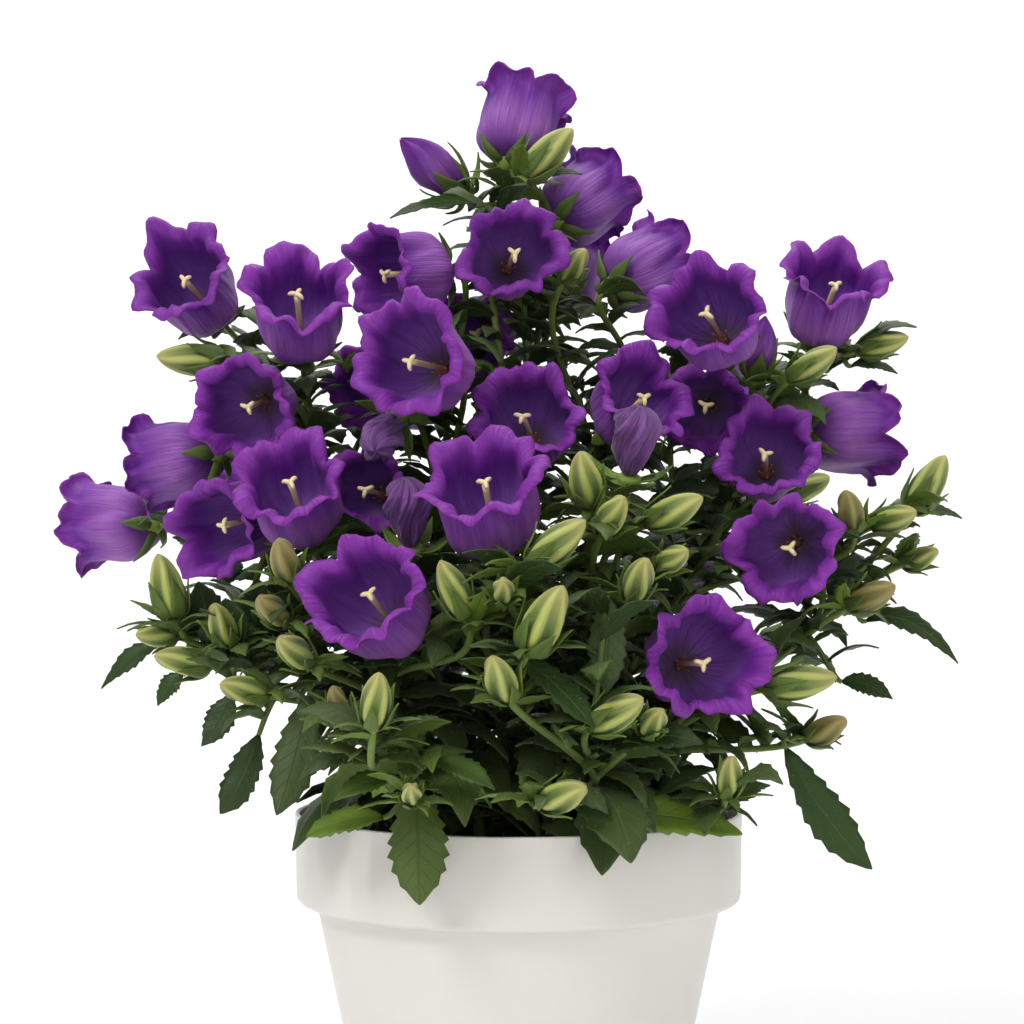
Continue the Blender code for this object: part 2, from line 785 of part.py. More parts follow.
def stalk_routes(stem_line, end, axis):
    """Routes for a stalk from a stem to a calyx or bud, the most natural first."""
    shares = (0.97, 0.9, 0.82, 0.74, 0.66, 0.58, 0.5, 0.42, 0.34, 0.26)
    shares = sorted(shares, key=lambda share: stalk_cost(along(stem_line, share), end))
    for share in shares:
        start = along(stem_line, share)
        ahead = (along(stem_line, min(share + 0.03, 1.0)) - along(stem_line, share - 0.03)).normalized()
        span = (end - start).length
        for pull in (0.42, 0.25, 0.62):
            for turn in (None, 0.0, 90.0, 180.0, 270.0):
                bow = Vector() if turn is None else direction(turn, 0.0) * (span * 0.22)
                leave = start + (ahead + (end - start).normalized()) * (span * 0.22) + bow
                arrive = end - axis * (span * pull)
                yield curve_points(start, leave, arrive, end, 3 if span > SHORT_STALK else 2)


def stalk_cost(start, end):
    """How unnatural a stalk is: long ones and falling ones cost more."""
    span = end - start
    return span.length + 1.6 * max(0.0, 14.0 - span.z)


def leaf_routes(stem_line, share, azimuth, length):
    """Places for a leaf: near its rule's azimuth, at several droops."""
    root = along(stem_line, share)
    for offset in (0.0, 28.0, -28.0, 56.0, -56.0, 90.0, -90.0, 130.0, -130.0, 180.0):
        for rise, droop in ((38.0, 70.0), (20.0, 90.0), (55.0, 60.0), (0.0, 60.0)):
            for size in (1.0, 0.8):
                line = leaf_points(root, azimuth + offset, rise, droop, length * size)
                yield line, azimuth + offset, size


def first_clear(routes, test):
    """The first route that passes the test, or None."""
    for route in routes:
        if test(route):
            return route
    return None


def fused(name, surfaces, looks, collection):
    """One body from surfaces that run into each other, by one union on their collection."""
    pieces = bpy.data.collections.new(f"{name}_pieces")
    bpy.context.scene.collection.children.link(pieces)
    body = None
    plain = len(surfaces) == 1
    for number, (surface, look) in enumerate(zip(surfaces, looks)):
        mesh = surface.mesh(f"{name}_{number}")
        mesh.materials.append(material(*look))
        if body is None:
            body = new_object(name, mesh, bpy.context.scene.collection)
        else:
            new_object(f"{name}_{number}", mesh, pieces)
    if not plain:
        union = body.modifiers.new("union", "BOOLEAN")
        union.operation = "UNION"
        union.operand_type = "COLLECTION"
        union.collection = pieces
        union.solver = "MANIFOLD"
    mesh = applied(body) if plain else largest_body(applied(body))
    for item in list(pieces.objects):
        bpy.data.objects.remove(item, do_unlink=True)
    bpy.data.collections.remove(pieces)
    bpy.data.objects.remove(body, do_unlink=True)
    for face in mesh.polygons:
        face.use_smooth = True
    mesh.set_sharp_from_angle(angle=math.radians(40.0))
    return new_object(name, mesh, collection)


def largest_body(mesh):
    """Keep the largest shell of a mesh, which drops loose scraps and fills sealed hollows."""
    work = bmesh.new()
    work.from_mesh(mesh)
    bmesh.ops.triangulate(work, faces=work.faces[:])
    left = set(work.verts)
    shells = []
    while left:
        front = [left.pop()]
        shell = set(front)
        while front:
            for edge in front.pop().link_edges:
                for corner in edge.verts:
                    if corner in left:
                        left.discard(corner)
                        shell.add(corner)
                        front.append(corner)
        shells.append(shell)
    keep = max(shells, key=len)
    bmesh.ops.delete(work, geom=[corner for corner in work.verts if corner not in keep], context="VERTS")
    for short in SHORT_EDGES:
        cleaned = work.copy()
        bmesh.ops.dissolve_degenerate(cleaned, dist=short * MM, edges=cleaned.edges[:])
        bmesh.ops.triangulate(cleaned, faces=cleaned.faces[:])
        if is_closed(cleaned):
            cleaned.to_mesh(mesh)
            cleaned.free()
            break
        cleaned.free()
    work.free()
    return mesh


def is_closed(work):
    """True where each edge joins two faces and no two corners lie together."""
    if any(not edge.is_contiguous for edge in work.edges):
        return False
    copy = work.copy()
    bmesh.ops.remove_doubles(copy, verts=copy.verts[:], dist=TOUCHING * MM)
    same = len(copy.verts) == len(work.verts)
    copy.free()
    return same


class Plant:
    """The blooms and leafy stems, placed so that no two nodes cross."""

    def __init__(self, collection):
        self.collection = collection
        self.neighbours = Neighbours()
        self.lines = {}
        self.parts = {stem.name: [] for stem in STEMS}
        self.skipped = []

    def build(self):
        """Make every bloom, then the stems with their stalks, buds and leaves."""
        for bloom in BLOOMS:
            self.make_bloom(bloom)
        for stem in STEMS:
            self.lay_stem(stem)
        for bloom in BLOOMS:
            self.lay_calyx(bloom)
        for bud in BUDS:
            self.lay_bud(bud)
        for leaf in BROAD_LEAVES:
            self.lay_broad_leaf(leaf)
        for stem in STEMS:
            self.lay_leaves(stem)
        for stem in STEMS:
            surfaces = self.parts[stem.name]
            fused(f"stem_{stem.name}", surfaces, [GREEN] * len(surfaces), self.collection)

    def stand_in(self, item):
        """Keep the foliage clear of the pot or the soil."""
        mesh = applied(item)
        surface = Surface()
        surface.points = [corner.co / MM for corner in mesh.vertices]
        surface.faces = [tuple(face.vertices) for face in mesh.polygons]
        self.neighbours.add(surface, item.name)

    def make_bloom(self, bloom):
        """One bloom as one body, its pistil fused to the bell's floor."""
        solids = bloom_solids(bloom)
        for solid in solids:
            self.neighbours.add(solid, bloom.name)
        petal = SPENT if bloom.kind == "withered" else PETAL
        fused(bloom.name, solids, [petal, PISTIL], self.collection)

    def lay_stem(self, stem):
        """The main stem from its hole to its top."""

        def is_clear(line):
            return self.neighbours.clear_line(densely(line), STEM_RADIUS + CLEARANCE, {"soil"})

        routes = list(stem_routes(stem))
        line = first_clear(routes, is_clear)
        if line is None:
            self.skipped.append(f"stem {stem.name}")
            line = routes[0]
        taper = (STEM_TOP_RADIUS - STEM_RADIUS) / (len(line) - 1)
        radii = [STEM_RADIUS + taper * step for step in range(len(line))]
        surface = Surface()
        surface.cap(tube_rings(surface, line, radii, STEM_SIDES), upward=True)
        self.lines[stem.name] = line
        self.parts[stem.name].append(surface)
        self.neighbours.add(surface, f"line {stem.name}")

    def stalk(self, stem_name, end, axis, ignored):
        """A clear stalk line from the stem to the end, or None."""

        def is_clear(line):
            away = densely(line)
            own = {f"line {stem_name}"} | ignored
            if not self.neighbours.clear_line(away, STALK_RADIUS + CLEARANCE, own):
                return False
            return True

        return first_clear(stalk_routes(self.lines[stem_name], end, axis), is_clear)

    def lay_calyx(self, bloom):
        """The stalk and calyx that carry a bloom."""
        seat, axis = bloom_seat(bloom)
        matrix = aim(seat, axis)
        end = seat - axis * CALYX_DEPTH
        line = self.stalk(bloom.stem, end, axis, set())
        if line is None:
            self.skipped.append(f"calyx {bloom.name}")
            return
        for reach in (1.0, 0.8, 0.6, 0.45):
            surface = Surface()
            last = tube_rings(surface, line, [STALK_RADIUS] * len(line), STALK_SIDES)
            calyx(surface, last, matrix, reach)
            if self.neighbours.clear_surface(surface, {f"line {bloom.stem}"}):
                break
        else:
            self.skipped.append(f"sepals cross at {bloom.name}")
        self.keep(surface, bloom.stem)

    def lay_bud(self, bud):
        """A bud on its stalk."""
        axis = direction(bud.azimuth, bud.elevation)
        base = Vector(bud.base)
        middle = [base + axis * (BUD_LENGTH * bud.size * share) for share in (0.0, 0.25, 0.5, 0.75, 1.0)]
        if not self.neighbours.clear_line(middle, BUD_RADIUS * bud.size + CLEARANCE):
            self.skipped.append(f"bud {bud.stem} {bud.base}")
            return
        line = self.stalk(bud.stem, base, axis, set())
        if line is None:
            self.skipped.append(f"bud stalk {bud.stem} {bud.base}")
            return
        surface = Surface()
        last = tube_rings(surface, line, [STALK_RADIUS] * len(line), STALK_SIDES)
        bud_head(surface, last, aim(base, axis), bud.size)
        if self.neighbours.clear_surface(surface, {f"line {bud.stem}"}):
            self.keep(surface, bud.stem)
        else:
            self.skipped.append(f"bud crosses {bud.stem} {bud.base}")

    def lay_broad_leaf(self, leaf):
        """A broad leaf with a midrib, from its stem at a height."""
        stem_line = self.lines[leaf.stem]
        root = min(densely(stem_line), key=lambda point: abs(point.z - leaf.height))
        for offset in (0.0, 10.0, -10.0, 20.0, -20.0, 32.0, -32.0, 46.0, -46.0, 60.0, -60.0):
            for tilt in (0.0, 15.0, -15.0, 30.0):
                azimuth = leaf.azimuth + offset
                line = leaf_points(root, azimuth, leaf.rise + tilt, leaf.droop, leaf.length)
                surface = leaf_surface(line, azimuth, leaf.width, BROAD_OUTLINE, 0.22)
                if self.add_leaf(surface, leaf.stem):
                    return
        self.skipped.append(f"broad leaf {leaf.stem}")

    def add_leaf(self, surface, stem_name):
        """Keep a leaf if it is clear of everything else."""
        solid = thickened(surface, LEAF_THICKNESS)
        wide = thickened(surface, LEAF_THICKNESS + CLEARANCE)
        own = {f"line {stem_name}"}
        if not self.neighbours.clear_surface(wide, own):
            return False
        if not self.neighbours.clear_surface(thickened(surface, -CLEARANCE), own):
            return False
        self.keep(solid, stem_name)
        return True

    def keep(self, surface, stem_name):
        """Count a surface among the parts of its stem."""
        self.neighbours.add(surface, f"part {stem_name}")
        self.parts[stem_name].append(surface)

    def lay_leaves(self, stem):
        """The smaller leaves of a stem, each turned by the golden angle from the last."""
        line = self.lines[stem.name]
        start = random.Random(f"{SEED}{stem.name}").uniform(0.0, 360.0)
        for number in range(stem.leaves):
            share = 0.30 + 0.60 * number / stem.leaves
            azimuth = start + GOLDEN_ANGLE * number
            length = stem.leaf_length * (1.0 - 0.12 * number)
            for points, turn, size in leaf_routes(line, share, azimuth, length):
                surface = leaf_surface(points, turn, length * size * 0.36, LEAF_OUTLINE, 0.0)
                if self.add_leaf(surface, stem.name):
                    break
            else:
                self.skipped.append(f"leaf {stem.name} {number}")


def main():
    """Build the pot, the soil and the plant."""
    clear_scene()
    collection = new_collection(COLLECTION)
    cutters = new_collection(CUTTERS)
    pot = make_pot(collection, cutters)
    soil = make_soil(collection, cutters)
    plant = Plant(collection)
    plant.stand_in(pot)
    plant.stand_in(soil)
    plant.build()
    for line in plant.skipped:
        print("left out:", line)


main()
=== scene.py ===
"""Looks of a potted bell-flowered campanula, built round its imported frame.

Tables and shapes are in millimetres and degrees, and MM turns a length into the metres
of the meshes. The pot stands on its base at the origin, +Z is up and the viewer stands
at -Y. An azimuth of 0 faces the viewer and 90 faces +X.
"""

import json
import logging
import math
import random
from collections.abc import Iterator
from dataclasses import dataclass, field
from enum import Enum

import bpy
import numpy as np
from mathutils import Matrix, Vector
from mathutils.bvhtree import BVHTree

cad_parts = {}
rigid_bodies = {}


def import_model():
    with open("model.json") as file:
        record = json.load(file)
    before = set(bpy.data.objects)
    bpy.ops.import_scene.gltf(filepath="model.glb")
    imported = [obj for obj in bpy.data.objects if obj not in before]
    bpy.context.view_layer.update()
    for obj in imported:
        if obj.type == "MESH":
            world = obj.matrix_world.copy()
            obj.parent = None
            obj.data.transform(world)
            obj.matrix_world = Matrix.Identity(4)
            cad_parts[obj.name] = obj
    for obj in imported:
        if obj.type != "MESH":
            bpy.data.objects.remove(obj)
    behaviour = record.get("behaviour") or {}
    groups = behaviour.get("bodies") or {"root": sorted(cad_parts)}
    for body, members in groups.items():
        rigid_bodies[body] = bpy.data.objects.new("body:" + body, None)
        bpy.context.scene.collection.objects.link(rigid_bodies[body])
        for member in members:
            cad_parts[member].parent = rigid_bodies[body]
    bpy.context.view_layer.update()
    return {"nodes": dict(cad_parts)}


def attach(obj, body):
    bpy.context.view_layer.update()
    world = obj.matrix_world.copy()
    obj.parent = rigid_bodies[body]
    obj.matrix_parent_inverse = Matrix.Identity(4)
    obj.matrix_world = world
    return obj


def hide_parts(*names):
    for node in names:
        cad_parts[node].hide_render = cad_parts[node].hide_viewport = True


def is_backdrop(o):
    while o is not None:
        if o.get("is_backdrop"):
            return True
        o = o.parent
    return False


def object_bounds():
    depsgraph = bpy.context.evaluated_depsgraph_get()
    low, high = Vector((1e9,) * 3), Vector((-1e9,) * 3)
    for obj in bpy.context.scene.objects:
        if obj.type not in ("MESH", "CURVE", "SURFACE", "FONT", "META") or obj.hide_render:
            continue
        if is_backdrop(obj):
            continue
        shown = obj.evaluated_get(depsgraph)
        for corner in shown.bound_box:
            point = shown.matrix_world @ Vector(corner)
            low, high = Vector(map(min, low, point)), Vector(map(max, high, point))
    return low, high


LOG = logging.getLogger("campanula")
Point = tuple[float, float, float]
Colour = tuple[float, float, float]
Knots = tuple[tuple[float, float], ...]

Array = np.ndarray
Object = bpy.types.Object
Material = bpy.types.Material
Node = bpy.types.Node
Socket = bpy.types.NodeSocket

MM = 0.001
SEED = 11
LOBES = 5
GOLDEN_ANGLE = 137.5
UP = np.array((0.0, 0.0, 1.0))

POT_HEIGHT = 130.0
RIM_RADIUS = 85.0
SOIL_REACH = 82.2
SOIL_EDGE_BELOW_RIM = 11.0
SOIL_DOME = 3.0
SOIL_TOP_ABOVE = 0.115
HOLE_DEPTH = 14.0

BELL_LENGTH = 36.0
BELL_WIDTH = 48.0
PISTIL_LENGTH = 26.0
OPENING_SLENDERNESS = 1.5
WITHERED_LENGTH = 25.0
CALYX_DEPTH = 4.0
SEPAL_REACH = 15.0
SEPAL_RISE = 3.6
STEM_RADIUS = 2.2
STEM_TOP_RADIUS = 1.3
STALK_RADIUS = 1.2
STALK_SIDES = 10
STALK_RIBS = 0.06
SHORT_STALK = 24.0
STALK_RISE = 14.0
FLAT_STALK_COST = 1.6
BUD_LENGTH = 24.0
BUD_RADIUS = 6.4

YOUNG_TONE = 0.5
LOWEST_LEAF = 122.0
LEAF_SPACING = 3.3
BRACT_SPACING = 4.6
LONG_LEAF = 26.0
LEAF_MISFIT = 0.6
BROAD_WIDENING = 1.12
BROAD_STRETCH = 1.1
# Broad leaves rooted below this height get a bright tone as painted light, and those above it get a
# dark tone as painted shade.
SHADE_LINE = 142.0
HAIR_DENSITY = 30000.0
HAIR_LENGTH = 1.5
HAIR_RADIUS = 0.075
CRUMB_DENSITY = 90000.0
CRUMB_RADIUS = 1.3

SEPAL_OUTLINE = ((0.0, 0.75), (0.15, 0.95), (0.35, 1.0), (0.6, 0.7), (0.85, 0.26), (1.0, 0.02))
BROAD_OUTLINE = (
    (0.0, 0.12),
    (0.15, 0.6),
    (0.35, 0.9),
    (0.55, 1.0),
    (0.75, 0.82),
    (0.9, 0.45),
    (1.0, 0.03),
)


class Finish(Enum):
    """The finish of a face, which is also its place among a piece's materials."""

    PETAL = 0
    PISTIL = 1
    SPENT = 2
    STEM = 3
    LEAF = 4
    BUD = 5


class Kind(Enum):
    """The state of a bloom."""

    OPEN = "open"
    OPENING = "opening"
    WITHERED = "withered"


@dataclass(frozen=True)
class Bloom:
    """A bell: the middle of its mouth, where it faces, its width and its state."""

    name: str
    stem: str
    mouth: Point
    azimuth: float
    elevation: float
    width: float
    kind: Kind = Kind.OPEN


@dataclass(frozen=True)
class Bud:
    """A bud: the end of its stalk, where it points and its size beside a full one."""

    stem: str
    base: Point
    azimuth: float
    elevation: float
    size: float


@dataclass(frozen=True)
class Stem:
    """A leafy stem: its hole in the soil, its top, its frame leaves and their length."""

    name: str
    hole: tuple[float, float]
    top: Point
    leaves: int
    leaf_length: float


@dataclass(frozen=True)
class BroadLeaf:
    """A broad leaf of the frame: azimuth, rise, droop, length, width and root height."""

    stem: str
    azimuth: float
    rise: float
    droop: float
    length: float
    width: float
    height: float


@dataclass(frozen=True)
class SetLeaf:
    """A leaf between two points: its width, its sag and its tone, 1 for a young one."""

    stem: str
    root: Point
    tip: Point
    width: float
    sag: float
    tone: float
    roll: float = 38.0


STEMS = tuple(
    Stem(*row)
    for row in (
        ("centre_tall", (-4, 6), (-5, 2, 344), 3, 36),
        ("top_right", (12, 2), (44, 4, 306), 2, 36),
        ("top_left", (-12, -2), (-28, -14, 266), 2, 34),
        ("left_high", (-22, 2), (-84, -2, 286), 3, 36),
        ("left_middle", (-28, -10), (-88, -16, 250), 3, 36),
        ("far_left", (-36, 4), (-112, 2, 214), 3, 38),
        ("front_left", (-26, -24), (-54, -78, 196), 3, 36),
        ("front_young", (-14, -38), (-38, -98, 156), 3, 34),
        ("centre_front", (-4, -22), (-14, -62, 222), 2, 34),
        ("centre_right", (8, -28), (24, -82, 212), 2, 34),
        ("right_high", (22, 10), (94, 6, 280), 3, 38),
        ("right_middle", (24, -6), (82, -8, 248), 2, 36),
        ("far_right", (36, -8), (116, -14, 206), 3, 38),
        ("lower_right", (28, -26), (60, -62, 172), 2, 40),
        ("front_right", (10, -42), (26, -98, 152), 2, 36),
        ("back_left", (-20, 24), (-66, 50, 248), 3, 38),
        ("back_middle", (0, 28), (-4, 58, 282), 3, 38),
        ("back_right", (22, 24), (64, 54, 244), 3, 38),
    )
)

BLOOMS = tuple(
    Bloom(*row)
    for row in (
        ("bloom_top", "centre_tall", (4, 8, 410), 147, 64, 46),
        ("bloom_top_front", "centre_tall", (-2, -62, 336), 4, 6, 44),
        ("bloom_opening_top", "centre_tall", (-45, -16, 385), -53, 30, 22, Kind.OPENING),
        ("bloom_top_right", "centre_tall", (35, 32, 376), 138, 31, 46),
        ("bloom_right_behind", "top_right", (60, 2, 344), 126, 27, 44),
        ("bloom_left_high", "left_high", (-127, -38, 334), -18, 23, 48),
        ("bloom_left_upright", "left_high", (-79, -62, 325), 2, 38, 48),
        ("bloom_left_of_centre", "top_left", (-55, -48, 327), -51, -9, 46),
        ("bloom_large_left", "top_left", (-41, -97, 294), -24, 4, 50),
        ("bloom_centre", "centre_front", (2, -70, 278), -6, 18, 46),
        ("bloom_centre_low", "centre_front", (-13, -118, 256), -11, 45, 50),
        ("bloom_right_of_centre", "top_right", (47, -58, 286), 21, 20, 44),
        ("bloom_right_upper", "top_right", (64, -76, 314), -18, 16, 48),
        ("bloom_right_high", "right_high", (120, -20, 337), 8, 43, 48),
        ("bloom_right_dark", "right_middle", (69, -34, 280), -9, -10, 40),
        ("bloom_right_middle", "right_middle", (89, -58, 266), -5, 17, 44),
        ("bloom_right_side", "right_middle", (143, 10, 275), 114, 1, 46),
        ("bloom_left_side", "far_left", (-173, 20, 240), -117, 1, 46),
        ("bloom_left_outer", "left_middle", (-142, -16, 260), -117, -7, 44),
        ("bloom_left_front", "left_middle", (-99, -64, 277), -9, -12, 46),
        ("bloom_left_up_front", "left_middle", (-79, -94, 256), -9, 38, 46),
        ("bloom_left_hanging", "far_left", (-110, -70, 234), -31, -12, 44),
        ("bloom_dark_left", "centre_front", (-56, -46, 251), -10, 3, 38),
        ("bloom_front_low", "front_left", (-54, -125, 216), -23, 24, 50),
        ("bloom_right_low", "far_right", (89, -90, 227), -17, -7, 46),
        ("bloom_front_right", "lower_right", (63, -112, 192), 12, 6, 50),
        ("bloom_behind_left", "top_left", (-21, -12, 309), -25, -20, 40),
        ("bloom_left_inner", "left_high", (-60, -12, 290), -20, -16, 40),
        ("bloom_opening_right", "right_high", (91, -34, 315), 13, 61, 16, Kind.OPENING),
        ("bloom_withered_front", "centre_front", (-39, -94, 252), -10, 64, 14, Kind.WITHERED),
        ("bloom_withered_right", "centre_right", (40, -98, 276), 12, 63, 14, Kind.WITHERED),
        ("bloom_withered_left", "top_left", (-50, -76, 262), -15, -30, 14, Kind.WITHERED),
        ("bloom_back_top", "back_middle", (22, 62, 350), 170, 35, 46),
        ("bloom_back_left_high", "back_left", (-55, 88, 302), -165, 18, 48),
        ("bloom_back_right_high", "back_right", (92, 72, 292), 140, 15, 48),
        ("bloom_back_left_side", "back_left", (-114, 56, 258), -130, 5, 46),
        ("bloom_back_middle", "back_middle", (-12, 112, 256), -175, 12, 48),
        ("bloom_back_right_low", "back_right", (70, 106, 222), 155, 8, 46),
        ("bloom_back_left_low", "back_left", (-70, 104, 208), -155, 5, 46),
    )
)

BUDS = tuple(
    Bud(*row)
    for row in (
        ("centre_tall", (2, -20, 370), 80, 42, 1.05),
        ("top_right", (17, -40, 328), 29, 30, 0.7),
        ("right_high", (101, -34, 292), 54, 29, 0.85),
        ("right_high", (132, -2, 306), 60, 12, 0.8),
        ("far_right", (148, -16, 244), 80, 58, 1.0),
        ("right_middle", (123, -35, 237), -22, 41, 0.8),
        ("far_right", (133, -25, 238), 40, 14, 0.8),
        ("far_right", (122, -35, 208), 45, 22, 0.85),
        ("lower_right", (86, -75, 180), 80, 10, 1.0),
        ("lower_right", (103, -60, 162), 34, 22, 0.8),
        ("centre_right", (23, -100, 244), -11, 45, 0.9),
        ("centre_right", (44, -95, 237), 56, 21, 0.9),
        ("centre_right", (4, -120, 222), 80, 40, 0.95),
        ("centre_right", (37, -110, 212), 15, 39, 0.8),
        ("centre_right", (3, -128, 195), 46, 54, 1.05),
        ("front_left", (-18, -112, 206), -50, 60, 0.85),
        ("front_right", (-4, -125, 180), -19, 40, 0.85),
        ("front_left", (-46, -138, 172), 14, 60, 0.8),
        ("front_left", (-77, -98, 218), -8, 42, 0.8),
        ("front_left", (-71, -100, 190), -25, 26, 0.8),
        ("far_left", (-125, -40, 204), -90, 74, 1.0),
        ("far_left", (-112, -48, 187), -60, 10, 0.85),
        ("left_high", (-110, -30, 298), -80, 5, 1.0),
        ("front_right", (24, -118, 170), 52, 27, 0.9),
        ("front_right", (8, -122, 146), 41, 17, 0.85),
        ("back_middle", (14, 92, 284), 150, 40, 0.9),
        ("back_right", (112, 60, 252), 110, 25, 0.9),
        ("back_left", (-92, 78, 236), -140, 35, 0.9),
        ("back_middle", (20, 112, 200), 165, 30, 0.8),
        ("back_right", (104, 78, 190), 130, 20, 0.85),
    )
)

SMALL_BUDS = tuple(
    Bud(*row)
    for row in (
        ("front_young", (-35, -122, 147), 4, 23, 0.55),
        ("front_young", (-58, -112, 173), -17, 50, 0.55),
        ("front_young", (-48, -122, 165), -12, 25, 0.5),
        ("centre_front", (-5, -124, 212), -2, 20, 0.6),
        ("centre_right", (47, -98, 222), 30, 18, 0.7),
        ("centre_right", (28, -105, 234), 20, 32, 0.8),
        ("front_right", (42, -108, 168), 14, 25, 0.7),
        ("far_left", (-127, -35, 197), -40, 3, 0.7),
        ("far_left", (-103, -58, 196), -14, 43, 0.8),
        ("far_right", (147, -10, 224), 35, 16, 0.7),
        ("front_left", (-80, -92, 204), -22, 25, 0.75),
        ("front_left", (-88, -80, 178), -43, 13, 0.8),
        ("lower_right", (70, -92, 146), 3, 50, 0.7),
        ("back_left", (-118, 62, 196), -120, 25, 0.85),
        ("left_high", (-64, -34, 300), 10, 60, 0.6),
    )
)

BROAD_LEAVES = tuple(
    BroadLeaf(*row)
    for row in (
        ("front_right", 38, 20, 62, 62, 22, 138),
        ("front_young", -52, 25, 60, 56, 20, 136),
        ("lower_right", 48, 25, 80, 62, 22, 150),
        ("front_left", -34, 20, 85, 64, 20, 148),
        ("front_right", -6, 30, 70, 52, 20, 146),
        ("back_middle", 178, 25, 95, 66, 22, 150),
        ("back_left", -128, 25, 90, 62, 22, 150),
        ("back_right", 128, 25, 90, 62, 22, 150),
    )
)

FRESH_STEM = "front_young"
TRIES = tuple(
    (share, offset)
    for share in (1.0, 0.78, 0.58)
    for offset in (0.0, 28.0, -28.0, 60.0, -60.0)
)

SET_LEAVES = tuple(
    SetLeaf(*row)
    for row in (
        ("front_young", (-35, -90, 147), (-33, -103, 110), 19, 4, 0.75),
        ("front_right", (27, -88, 137), (76, -84, 131), 17, 3, 0.95),
        ("front_young", (-46, -88, 137), (-72, -90, 131), 12, 2, 0.7),
        ("far_right", (132, -8, 202), (167, -8, 186), 11, 7, 0.3, 50),
        ("far_right", (119, -30, 180), (137, -34, 174), 9, 2, 0.4, 55),
        ("lower_right", (94, -62, 158), (124, -62, 116), 16, -4, 0.35, 75),
        ("far_left", (-133, -20, 194), (-156, -20, 177), 9, 3, 0.3, 60),
        ("far_left", (-122, -40, 183), (-131, -42, 172), 9, 2, 0.4, 60),
        ("far_left", (-100, -70, 178), (-110, -74, 160), 11, -2, 0.2, 70),
        ("front_left", (-90, -75, 164), (-103, -77, 137), 13, -3, 0.2, 75),
        ("centre_tall", (-16, -10, 361), (-49, -14, 355), 9, 3, 0.35),
        ("centre_tall", (-4, -12, 367), (24, -18, 371), 10, 3, 0.35),
        ("right_high", (128, -2, 300), (146, -2, 297), 8, 2, 0.35),
        ("right_high", (120, 2, 299), (140, 4, 309), 8, 2, 0.35),
        ("far_right", (150, -12, 243), (168, -12, 241), 7, 2, 0.4),
        ("front_right", (29, -112, 212), (28, -117, 180), 12, -4, 0.15),
        ("centre_right", (0, -118, 192), (24, -127, 170), 12, 2, 0.2),
        ("front_right", (26, -104, 160), (60, -112, 164), 13, 4, 0.1),
        ("front_left", (-72, -80, 178), (-82, -90, 138), 15, -4, 0.1),
        ("front_left", (-100, -56, 192), (-104, -60, 211), 14, -2, 0.2, 60),
        ("far_left", (-111, -22, 193), (-119, -26, 217), 14, -2, 0.1, 60),
        ("far_left", (-119, -8, 196), (-131, -14, 222), 13, -2, 0.1, 60),
        ("far_left", (-92, -44, 194), (-94, -50, 218), 14, -2, 0.05, 60),
        ("front_left", (-86, -38, 199), (-84, -44, 223), 14, -2, 0.05, 60),
        ("far_left", (-96, -52, 187), (-111, -60, 207), 11, -2, 0.15, 60),
        ("front_left", (-79, -50, 191), (-74, -60, 212), 13, -2, 0.1, 60),
        ("right_middle", (62, -22, 236), (48, -30, 260), 13, -2, 0.1, 60),
        ("right_middle", (48, -28, 246), (74, -34, 250), 12, 2, 0.1, 50),
        ("centre_right", (34, -60, 234), (24, -56, 258), 13, -2, 0.1, 60),
        ("front_young", (-28, -110, 158), (-8, -122, 150), 9, 2, 0.6),
        ("front_young", (-42, -108, 152), (-60, -118, 146), 9, 2, 0.65),
    )
)


def unit(azimuth: float, elevation: float) -> Array:
    """The unit vector of an azimuth and an elevation."""
    turn = math.radians(azimuth)
    rise = math.radians(elevation)
    flat = math.cos(rise)
    return np.array((math.sin(turn) * flat, -math.cos(turn) * flat, math.sin(rise)))


def normalised(vectors: Array) -> Array:
    """The vectors brought to a length of 1."""
    return vectors / np.maximum(np.linalg.norm(vectors, axis=-1, keepdims=True), 1e-9)


def aim(origin: Array, axis: Array, roll: float = 0.0) -> Array:
    """The matrix that stands local +Z on the axis at the origin.

    Args:
        origin: Where local zero goes.
        axis: The direction of local +Z.
        roll: A turn about local +Z, in radians.

    Returns:
        A 4 by 4 matrix.
    """
    turn = Vector(axis).to_track_quat("Z", "Y").to_matrix().to_4x4()
    return np.array(Matrix.Translation(Vector(origin)) @ turn @ Matrix.Rotation(roll, 4, "Z"))


def moved(points: Array, matrix: Array) -> Array:
    """The points carried by a 4 by 4 matrix."""
    return points @ matrix[:3, :3].T + matrix[:3, 3]


def smooth(share: Array, knots: Knots) -> Array:
    """A curve through knots, rounded by averaging it over a short span."""
    places, values = np.array(knots).T
    shares = np.asarray(share, float)
    total = np.zeros_like(shares)
    for shift, weight in ((-0.04, 0.25), (0.0, 0.5), (0.04, 0.25)):
        near = np.clip(shares + shift * np.minimum(1.0, 8 * shares * (1 - shares)), 0.0, 1.0)
        total += weight * np.interp(near, places, values)
    return total


def full_turn(count: int) -> Array:
    """Turns spread evenly round a circle, in radians."""
    return np.linspace(0.0, math.tau, count, endpoint=False)


def spoke(turn: float) -> Array:
    """The level direction at a turn about local +Z, in radians."""
    return np.array((math.cos(turn), math.sin(turn), 0.0))


def round_grid(radii: Array, turns: Array, heights: Array) -> Array:
    """Rings about local +Z from radii, turns and heights that fit each other's shape."""
    sides = (radii * np.cos(turns), radii * np.sin(turns), heights)
    return np.stack(np.broadcast_arrays(*sides), axis=-1)


def line_length(points: Array) -> float:
    """The length of a line."""
    return float(np.linalg.norm(np.diff(points, axis=0), axis=1).sum())


def bezier(
    start: Array, first: Array, second: Array, end: Array, count: int
) -> Array:
    """Points along a cubic Bezier curve, count + 1 of them."""
    t = np.linspace(0.0, 1.0, count + 1)[:, None]
    s = 1.0 - t
    return start * s**3 + first * 3 * s * s * t + second * 3 * s * t * t + end * t**3


